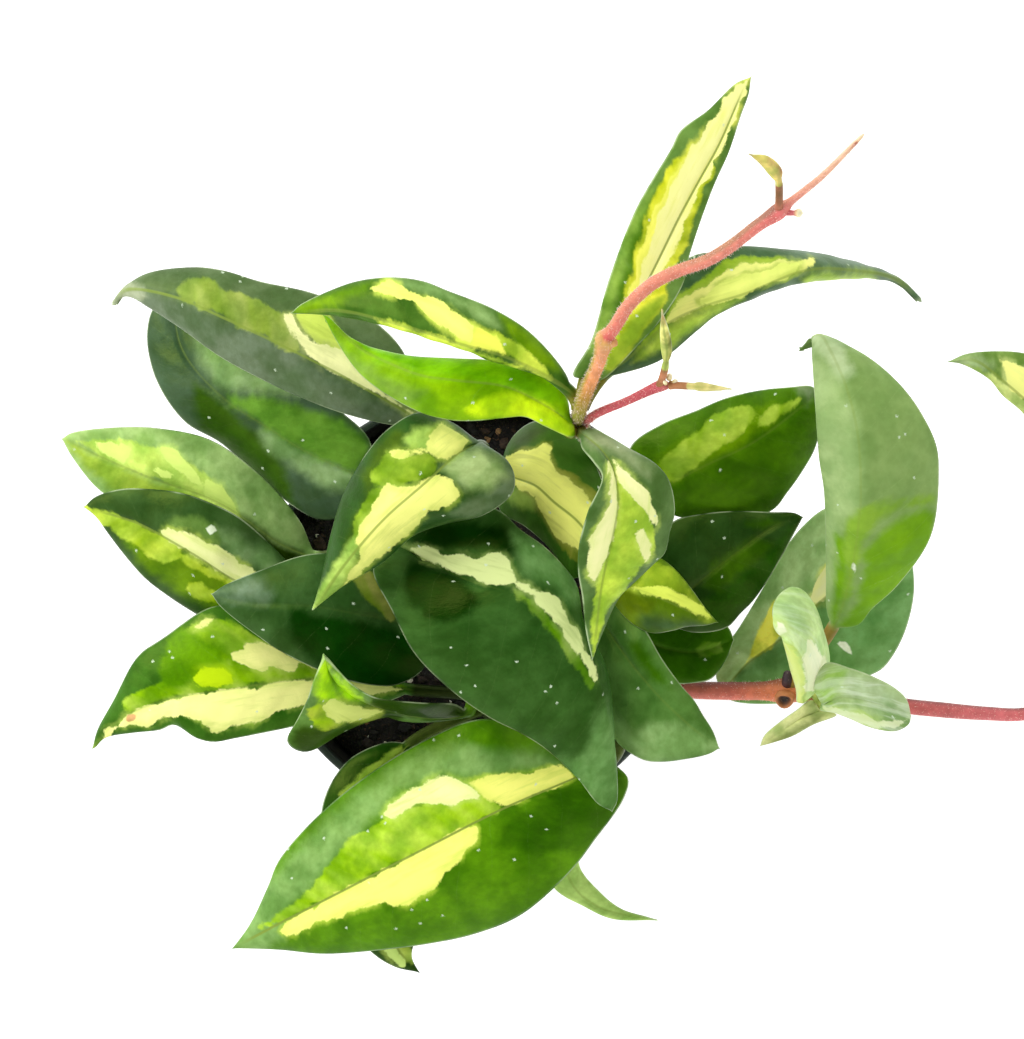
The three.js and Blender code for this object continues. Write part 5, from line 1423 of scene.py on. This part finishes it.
leaf(
    "leaf_right_upturned", ("vine_right", 7),
    [[833, 627, 118], [849, 584, 131], [860, 515, 146], [861, 481, 151], [858, 435, 155],
     [847, 389, 154], [830, 350, 149], [820, 336, 145], [800, 350, 139]],
    [[827, 612], [826, 572], [824, 492], [819, 458], [814, 389], [812, 354], [812, 340]],
    [[858, 625], [872, 609], [897, 586], [931, 536], [939, 469], [936, 444], [922, 414],
     [906, 391], [883, 368], [860, 352], [837, 343]],
    [[-7, -9, -4], [-4, -7, -4]],
    {"tone": (123, 154, 86), "sheen_and_bloom": (149, 177, 115), "fresh": (104, 154, 2),
     "under": (48, 86, 24), "middle": (122, 162, 48), "shade_and_sheen": (178, 199, 150),
     "stalk": (150, 122, 60)},
    [
        # This patch is a painted highlight near the tip.
        ("shade_and_sheen", BOTH, [(806, 332), (826, 334), (844, 350), (852, 374), (840, 384), (822, 352)]),
        ("sheen_and_bloom", LEFT, [(808, 356), (826, 362), (846, 392), (858, 432), (862, 480), (856, 512),
                         (842, 520), (840, 580), (836, 620), (821, 618), (823, 500), (816, 440),
                         (810, 380)]),
        ("middle", BOTH, [(846, 538), (850, 520), (866, 506), (900, 496), (936, 494), (936, 504),
                          (905, 505), (878, 520), (862, 540), (854, 580), (846, 596)]),
        ("fresh", RIGHT, [(858, 600), (864, 552), (880, 532), (905, 514), (925, 506), (936, 512),
                          (934, 545), (905, 584), (880, 610), (850, 630), (842, 622)]),
        ("fresh", LEFT, [(838, 534), (852, 540), (852, 600), (834, 622), (830, 610), (838, 576)]),
        ("speck", BOTH, [(851, 566), (854, 561), (858, 566), (855, 572)]),
    ],
    cup=0.05, gloss=0.5, rib_mark=0.25, seed=1.6, mottling=0.5, veins=0.22,
)
leaf(
    "leaf_right_under_vine", ("vine_right", 6),
    [[723, 692, 94], [746, 664, 94], [778, 641, 96], [824, 598, 99], [870, 560, 101],
     [905, 535, 100]],
    [[716, 676], [728, 644], [740, 626], [773, 571], [789, 543], [803, 526], [824, 509],
     [860, 500], [892, 512]],
    [[730, 700], [773, 704], [830, 695], [869, 676], [882, 669], [894, 654], [906, 629],
     [914, 593], [912, 560]],
    [[1, 2, 1], [-2, -4, -3]],
    {"tone": (165, 199, 133), "shade_and_sheen": (102, 150, 86), "lime": (247, 247, 84),
     "yellow": (247, 247, 184)},
    [
        ("shade_and_sheen", RIGHT, [(700, 700), (746, 660), (778, 636), (824, 592), (870, 552), (930, 520),
                         (930, 660), (850, 710), (720, 712)]),
        ("lime", LEFT, [(743, 666), (752, 642), (764, 620), (774, 604), (790, 596), (798, 606),
                        (788, 630), (772, 646), (757, 658)]),
        ("yellow", LEFT, [(808, 602), (814, 585), (822, 570), (840, 560), (846, 572), (828, 598)]),
        ("speck", RIGHT, [(837, 642), (844, 641), (850, 646), (852, 654), (846, 651), (840, 646)]),
    ],
    seed=1.7, rib_mark=0.5,
)
leaf(
    "leaf_right_dark", ("stem_right", 4),
    [[658, 618, 112], [690, 590, 117], [732, 556, 121], [778, 524, 124], [803, 517, 125]],
    [[650, 590], [655, 545], [674, 521], [701, 514], [732, 511], [772, 512], [795, 513]],
    [[690, 632], [726, 628], [741, 613], [753, 601], [773, 572], [795, 532]],
    [[0, 1, 0], [-2, -3, -1]],
    {"tone": (34, 67, 22), "fresh": (50, 90, 2), "shade_and_sheen": (23, 70, 2)},
    [
        ("shade_and_sheen", RIGHT, [(700, 600), (760, 560), (790, 530), (770, 580), (730, 625), (700, 625)]),
        ("fresh", BOTH, [(704, 586), (714, 562), (735, 550), (755, 538), (772, 544), (756, 562),
                         (736, 576), (720, 592)]),
        ("fresh", LEFT, [(748, 524), (766, 520), (778, 522), (764, 528)]),
    ],
    seed=1.8, rib_mark=0.15,
)
leaf(
    "leaf_right_striped", ("stem_right", 5),
    [[606, 578, 122], [640, 590, 129], [663, 599, 131], [694, 613, 130], [717, 622, 127]],
    [[618, 560], [642, 552], [664, 560], [678, 572], [694, 592], [706, 609]],
    [[612, 600], [630, 622], [651, 633], [671, 631], [686, 627], [707, 625]],
    [[-1, -2, -1], [-4, -5, -2]],
    {"tone": (98, 128, 17), "fresh": (82, 105, 2), "lime": (145, 172, 28),
     "cream": (234, 247, 103), "sheen_and_bloom": (53, 84, 44)},
    [
        ("sheen_and_bloom", RIGHT, [(642, 612), (680, 616), (714, 624), (690, 630), (660, 636), (640, 628)]),
        ("fresh", BOTH, [(610, 584), (632, 590), (660, 600), (650, 612), (626, 612)]),
        ("lime", LEFT, [(636, 590), (646, 572), (655, 564), (668, 567), (684, 582), (698, 600),
                        (680, 594), (660, 590)]),
        ("cream", LEFT, [(614, 586), (642, 588), (660, 588), (678, 592), (695, 600), (714, 620),
                         (700, 618), (680, 610), (660, 602), (640, 596), (616, 590)]),
    ],
    seed=1.9, rib_mark=0.3,
)
leaf(
    "leaf_right_low_dark", ("stem_right", 3),
    [[625, 628, 103], [655, 645, 105], [695, 652, 107], [734, 640, 107]],
    [[640, 612], [680, 608], [715, 615], [729, 628]],
    [[640, 668], [670, 683], [694, 683], [711, 679], [726, 660]],
    [[0, 0, 0], [-1, -1, 0]],
    {"tone": (44, 94, 2), "lime": (75, 122, 2)},
    [("lime", BOTH, [(694, 648), (705, 640), (720, 642), (724, 652), (710, 658), (700, 656)])],
    seed=2.0, rib_mark=0.1,
)
leaf(
    "leaf_front_right_dark", ("stem_right", 4),
    [[602, 616, 117], [622, 650, 123], [655, 692, 125], [690, 726, 122], [719, 748, 118]],
    [[617, 604], [633, 614], [647, 632], [661, 657], [681, 685], [694, 700], [703, 715],
     [713, 731]],
    [[592, 650], [600, 700], [616, 741], [635, 756], [647, 761], [662, 762], [681, 760],
     [709, 754]],
    [[1, 0, -1], [-2, -4, -2]],
    {"tone": (72, 115, 48), "fresh": (49, 96, 2), "sheen_and_bloom": (130, 168, 102)},
    [
        ("fresh", LEFT, [(626, 640), (642, 640), (660, 668), (672, 690), (650, 680), (634, 660)]),
        ("sheen_and_bloom", BOTH, [(608, 710), (634, 728), (655, 724), (692, 726), (716, 746), (680, 762),
                         (650, 762), (618, 746)]),
    ],
    seed=2.1, rib_mark=0.15,
)
leaf(
    "leaf_centre_back", ("stem_middle", 4),
    [[507, 473, 116], [518, 479, 121], [538, 487, 128], [553, 501, 130], [582, 527, 128],
     [602, 570, 126]],
    [[504, 455], [515, 434], [535, 421], [555, 425], [575, 436], [588, 451], [599, 472],
     [607, 500], [608, 540]],
    [[498, 494], [501, 512], [524, 526], [542, 541], [556, 557], [567, 578]],
    [[-4, -5, -3], [-3, -4, -2]],
    {"tone": (52, 95, 24), "lime": (80, 97, 2), "cream": (247, 247, 128), "sheen_and_bloom": (53, 71, 43),
     "middle": (128, 160, 64)},
    [
        ("sheen_and_bloom", LEFT, [(510, 440), (535, 424), (548, 430), (535, 444), (518, 452)]),
        ("middle", RIGHT, [(508, 484), (522, 489), (534, 494), (539, 504), (534, 510), (520, 509),
                           (510, 500)]),
        ("lime", LEFT, [(532, 450), (545, 441), (552, 444), (556, 470), (572, 474), (590, 490),
                        (600, 500), (596, 508), (574, 488), (552, 478)]),
        ("lime", RIGHT, [(548, 518), (560, 534), (572, 547), (590, 558), (578, 562), (562, 548)]),
        ("cream", BOTH, [(500, 464), (510, 456), (524, 451), (538, 450), (546, 443), (553, 450),
                         (554, 474), (562, 477), (574, 486), (582, 497), (594, 504), (602, 530),
                         (600, 560), (588, 552), (578, 548), (563, 541), (554, 532), (546, 518),
                         (539, 506), (538, 496), (522, 490), (506, 480)]),
    ],
    seed=2.2, rib_mark=0.8,
)
leaf(
    "leaf_right_arched", ("stem_main", 5),
    [[583, 434, 151], [599, 450, 156], [611, 468, 159], [617, 496, 160], [614, 525, 158],
     [602, 579, 152], [592, 659, 144]],
    [[592, 428], [607, 435], [629, 448], [656, 464], [669, 480], [675, 511], [670, 532], [665, 553],
     [654, 564], [633, 584], [619, 598], [601, 636]],
    [[581, 446], [593, 462], [602, 477], [588, 511], [579, 545], [578, 571], [582, 596],
     [586, 632]],
    [[-4, -5, -3], [4, 3, 1]],
    {"tone": (76, 109, 56), "lime": (167, 205, 12), "cream": (247, 247, 179),
     "sheen_and_bloom": (130, 149, 105), "fresh": (156, 186, 90),
     "stalk": (112, 112, 40)},
    [
        ("sheen_and_bloom", BOTH, [(584, 430), (604, 434), (636, 450), (654, 466), (650, 482), (634, 470),
                         (614, 456), (598, 450), (588, 444)]),
        ("lime", BOTH, [(612, 466), (625, 474), (640, 486), (650, 510), (654, 530), (652, 550),
                        (643, 564), (625, 586), (608, 606), (600, 630), (594, 658), (590, 640),
                        (592, 610), (594, 585), (600, 560), (610, 530), (616, 500)]),
        ("cream", RIGHT, [(609, 464), (618, 476), (620, 500), (616, 524), (608, 552), (600, 568),
                          (594, 582), (587, 574), (587, 552), (592, 538), (598, 522), (605, 505),
                          (608, 490)]),
        ("cream", LEFT, [(612, 463), (620, 465), (632, 475), (642, 484), (650, 492), (652, 503),
                         (658, 515), (656, 528), (648, 521), (644, 508), (634, 498), (622, 488),
                         (614, 475)]),
        ("cream", LEFT, [(634, 532), (642, 528), (648, 540), (650, 555), (645, 562), (640, 550)]),
    ],
    seed=2.3, rib_mark=0.5,
)
leaf(
    "leaf_vine_end", ("vine_right", 17),
    [[1126, 497, 108], [1100, 462, 112], [1058, 424, 115], [1024, 398, 116],
     [1007, 384, 116], [976, 361, 114], [948, 362, 111]],
    [[1106, 500], [1060, 462], [1023, 413], [1002, 395], [990, 380], [961, 364]],
    [[1130, 455], [1105, 405], [1065, 366], [1024, 353], [996, 351], [966, 354]],
    [[-2, -3, -1], [-1, -2, -1]],
    {"tone": (108, 139, 65), "lime": (203, 220, 137), "cream": (244, 245, 141),
     "sheen_and_bloom": (187, 202, 159), "stalk": (92, 98, 42)},
    [
        ("sheen_and_bloom", BOTH, [(944, 358), (975, 356), (990, 366), (985, 374), (960, 366)]),
        ("lime", LEFT, [(955, 362), (980, 366), (1007, 384), (1060, 424), (1110, 470), (1120, 500),
                        (1060, 470), (1010, 410), (985, 378)]),
        ("cream", RIGHT, [(1000, 360), (1014, 362), (1030, 370), (1060, 388), (1095, 424),
                          (1114, 462), (1100, 462), (1058, 424), (1024, 399), (1006, 382)]),
    ],
    seed=2.4, rib_mark=0.6,
)
leaf(
    "leaf_front_narrow", ("stem_low", 3),
    [[590, 735, 93], [572, 775, 95], [560, 830, 93], [571, 882, 89], [600, 907, 86],
     [657, 920, 82]],
    [[598, 770], [585, 825], [579, 864], [600, 892], [622, 909]],
    [[548, 770], [535, 830], [553, 887], [583, 906], [612, 919]],
    [[0, -1, 0], [0, -1, 0]],
    {"tone": (165, 202, 107), "fresh": (108, 140, 50)},
    [("fresh", BOTH, [(550, 760), (600, 760), (590, 850), (545, 850)])],
    seed=2.5, rib_mark=0.3,
)
leaf(
    "leaf_front_under", ("stem_front", 3),
    [[410, 744, 97], [385, 780, 99], [372, 830, 99], [376, 890, 96], [396, 945, 92],
     [419, 972, 88]],
    [[425, 775], [432, 840], [425, 905], [415, 940], [412, 957]],
    [[388, 742], [351, 758], [330, 785], [321, 815], [328, 870], [350, 925], [371, 952],
     [395, 967]],
    [[0, 0, 0], [-1, -2, -1]],
    {"tone": (15, 61, 2), "lime": (153, 177, 62), "cream": (219, 247, 138)},
    [
        ("lime", RIGHT, [(340, 794), (364, 770), (385, 754), (402, 744), (404, 760), (384, 790),
                         (366, 840), (352, 850), (346, 820)]),
        ("lime", LEFT, [(392, 950), (410, 944), (416, 962), (408, 964)]),
        ("cream", RIGHT, [(372, 880), (384, 920), (396, 948), (404, 964), (396, 962), (384, 950),
                          (374, 920), (366, 890)]),
    ],
    seed=2.6,
)
young_tones = {"under": (186, 206, 156), "stalk": (176, 190, 104)}
leaf(
    "young_leaf_bent", ("vine_right", 8),
    [[802, 700, 112], [806, 688, 119], [805, 668, 128], [797, 650, 134], [785, 637, 136],
     [780, 630, 135]],
    [[797, 702], [796, 690], [790, 668], [784, 645]],
    [[812, 692], [829, 662], [822, 625], [812, 600], [800, 588], [790, 587], [777, 597],
     [772, 612], [775, 624]],
    [[-3, -5, -3], [-7, -1, 5]],
    {**young_tones, "tone": (184, 216, 142), "sheen_and_bloom": (158, 194, 128), "cream": (240, 244, 206),
     "yellow": (214, 228, 130)},
    [
        ("yellow", LEFT, [(780, 640), (796, 650), (812, 700), (798, 708), (786, 670)]),
        ("cream", RIGHT, [(800, 668), (806, 640), (816, 645), (826, 664), (816, 690), (806, 690)]),
        ("sheen_and_bloom", RIGHT, [(776, 606), (790, 592), (802, 600), (806, 630), (796, 636), (782, 626)]),
        ("cream", BOTH, [(774, 618), (784, 622), (788, 632), (778, 636)]),
    ],
    young=True, cup=0.15, gloss=0.5, rib_mark=0.2, seed=2.7, streaks=0.22,
)
leaf(
    "young_leaf_right", ("vine_right", 8),
    [[824, 704, 113], [842, 697, 120], [875, 703, 123], [911, 716, 122]],
    [[814, 688], [826, 663], [850, 668], [872, 676], [895, 688], [907, 700]],
    [[820, 710], [834, 713], [850, 719], [866, 726], [880, 730], [897, 731], [909, 724]],
    [[5, 4, 1], [-1, -1, 0]],
    {**young_tones, "tone": (140, 168, 110), "sheen_and_bloom": (150, 176, 130), "fresh": (136, 176, 84),
     "cream": (206, 216, 172)},
    [
        ("fresh", LEFT, [(818, 690), (828, 664), (846, 672), (840, 692), (828, 702)]),
        ("sheen_and_bloom", BOTH, [(846, 672), (880, 682), (912, 706), (910, 722), (876, 712), (848, 694)]),
        ("cream", RIGHT, [(826, 708), (852, 712), (880, 720), (906, 720), (896, 730), (868, 726),
                          (836, 716)]),
    ],
    young=True, gloss=0.5, rib_mark=0.2, seed=2.8, streaks=0.34,
)
leaf(
    "young_leaf_left", ("vine_right", 8),
    [[820, 712, 107], [803, 718, 110], [782, 731, 111], [760, 746, 110]],
    [[837, 715], [813, 725], [793, 736], [772, 743]],
    [[812, 700], [795, 711], [777, 724], [764, 736]],
    [[0, 0, 0], [0, 0, 0]],
    {**young_tones, "tone": (196, 206, 140), "fresh": (122, 136, 76)},
    [("fresh", LEFT, [(824, 716), (810, 718), (780, 734), (758, 748), (775, 748), (812, 730)])],
    young=True, gloss=0.5, rib_mark=0.2, seed=2.9,
)
shoot_tones = {"under": (196, 186, 112), "stalk": (168, 116, 84), "fresh": (176, 146, 100)}
leaf(
    "shoot_leaf_upright", ("shoot_side", 3),
    [[665, 368, 182], [667, 350, 192], [664, 330, 201], [662, 310, 208]],
    [[661, 350], [660, 330]],
    [[672, 352], [669, 330]],
    [[1, 1, 1], [1, 1, 1]],
    {**shoot_tones, "tone": (216, 222, 128), "shade_and_sheen": (110, 110, 40)},
    [
        ("fresh", BOTH, [(655, 322), (672, 322), (668, 306), (658, 306)]),
        ("shade_and_sheen", LEFT, [(667, 332), (674, 334), (676, 360), (668, 362)]),
        ("shade_and_sheen", RIGHT, [(667, 332), (674, 334), (676, 360), (668, 362)]),
    ],
    young=True, gloss=0.5, rib_mark=0.6, seed=3.0,
)
leaf(
    "shoot_leaf_flat", ("shoot_side", 4),
    [[688, 386, 178], [700, 387, 180], [734, 389, 182]],
    [[698, 382], [716, 385]],
    [[698, 391], [716, 391]],
    [[0, 0, 0], [0, 0, 0]],
    {**shoot_tones, "tone": (212, 199, 133)},
    young=True, gloss=0.5, rib_mark=0.3, seed=3.1,
)
leaf(
    "runner_leaf_bent", ("stem_main", 17),
    [[779, 184, 219], [777, 172, 224], [766, 161, 228], [749, 154, 230]],
    [[772, 178], [760, 164]],
    [[782, 170], [768, 156]],
    [[0, 0, 0], [0, 0, 0]],
    {**shoot_tones, "tone": (214, 204, 112), "stalk": (150, 96, 76), "fresh": (156, 104, 78)},
    [
        ("fresh", BOTH, [(764, 168), (744, 150), (744, 160), (760, 166)]),
        ("fresh", RIGHT, [(768, 158), (784, 168), (784, 186), (776, 176)]),
    ],
    young=True, gloss=0.5, rib_mark=0.3, seed=3.2,
)

# THE STAGE
# A plain pale floor under soft white light, brighter from the sides than from overhead, one
# round lamp high at the back left, and a camera straight above the middle of the plant, which
# looks down at it.

FLOOR_SIDE, FLOOR_GLOW = 4.0, 0.5
SIDE_HEIGHT, TOP_HEIGHT, SIDE_LIGHT, TOP_LIGHT = 0.62, 0.9, 1.3, 0.15

bpy.ops.mesh.primitive_plane_add(size=FLOOR_SIDE, location=(0, 0, 0))
floor = bpy.context.object
floor.name = "floor"
paper = Finish("pale_floor", 0.9)
paper.colour((0.9, 0.9, 0.9, 1))
paper.surface.inputs["Emission Color"].default_value = (1, 1, 1, 1)
paper.surface.inputs["Emission Strength"].default_value = FLOOR_GLOW
floor.data.materials.append(paper.material)
floor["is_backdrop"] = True

world = bpy.data.worlds.new("soft_white_room")
bpy.context.scene.world = world
world.use_nodes = True
nodes, links = world.node_tree.nodes, world.node_tree.links
direction = nodes.new("ShaderNodeTexCoord")
height = nodes.new("ShaderNodeSeparateXYZ")
links.new(direction.outputs["Generated"], height.inputs[0])
fall = nodes.new("ShaderNodeMapRange")
fall.interpolation_type = "SMOOTHSTEP"
links.new(height.outputs[2], fall.inputs[0])
for socket, value in enumerate((SIDE_HEIGHT, TOP_HEIGHT, SIDE_LIGHT, TOP_LIGHT), 1):
    fall.inputs[socket].default_value = value
background = nodes["Background"]
background.inputs["Color"].default_value = (1, 1, 1, 1)
links.new(fall.outputs[0], background.inputs["Strength"])

lamp_data = bpy.data.lights.new("soft_lamp", "AREA")
lamp_data.shape, lamp_data.size, lamp_data.energy = "DISK", 1.0, 17.0
lamp = bpy.data.objects.new("soft_lamp", lamp_data)
lamp.location = (-0.9, 0.7, 1.1)
lamp.rotation_euler = (0, -0.82, -0.66)
bpy.context.scene.collection.objects.link(lamp)

camera_data = bpy.data.cameras.new("camera")
camera_data.sensor_width, camera_data.lens = 36, 127.1
camera_data.clip_start, camera_data.clip_end = 0.05, 10
camera = bpy.data.objects.new("camera", camera_data)
camera.location = EYE * MM
bpy.context.scene.collection.objects.link(camera)
bpy.context.scene.camera = camera
bpy.context.scene.view_settings.view_transform = "Standard"

size = {"cad": [list(corner) for corner in cad_box], "shown": [list(c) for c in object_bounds()]}
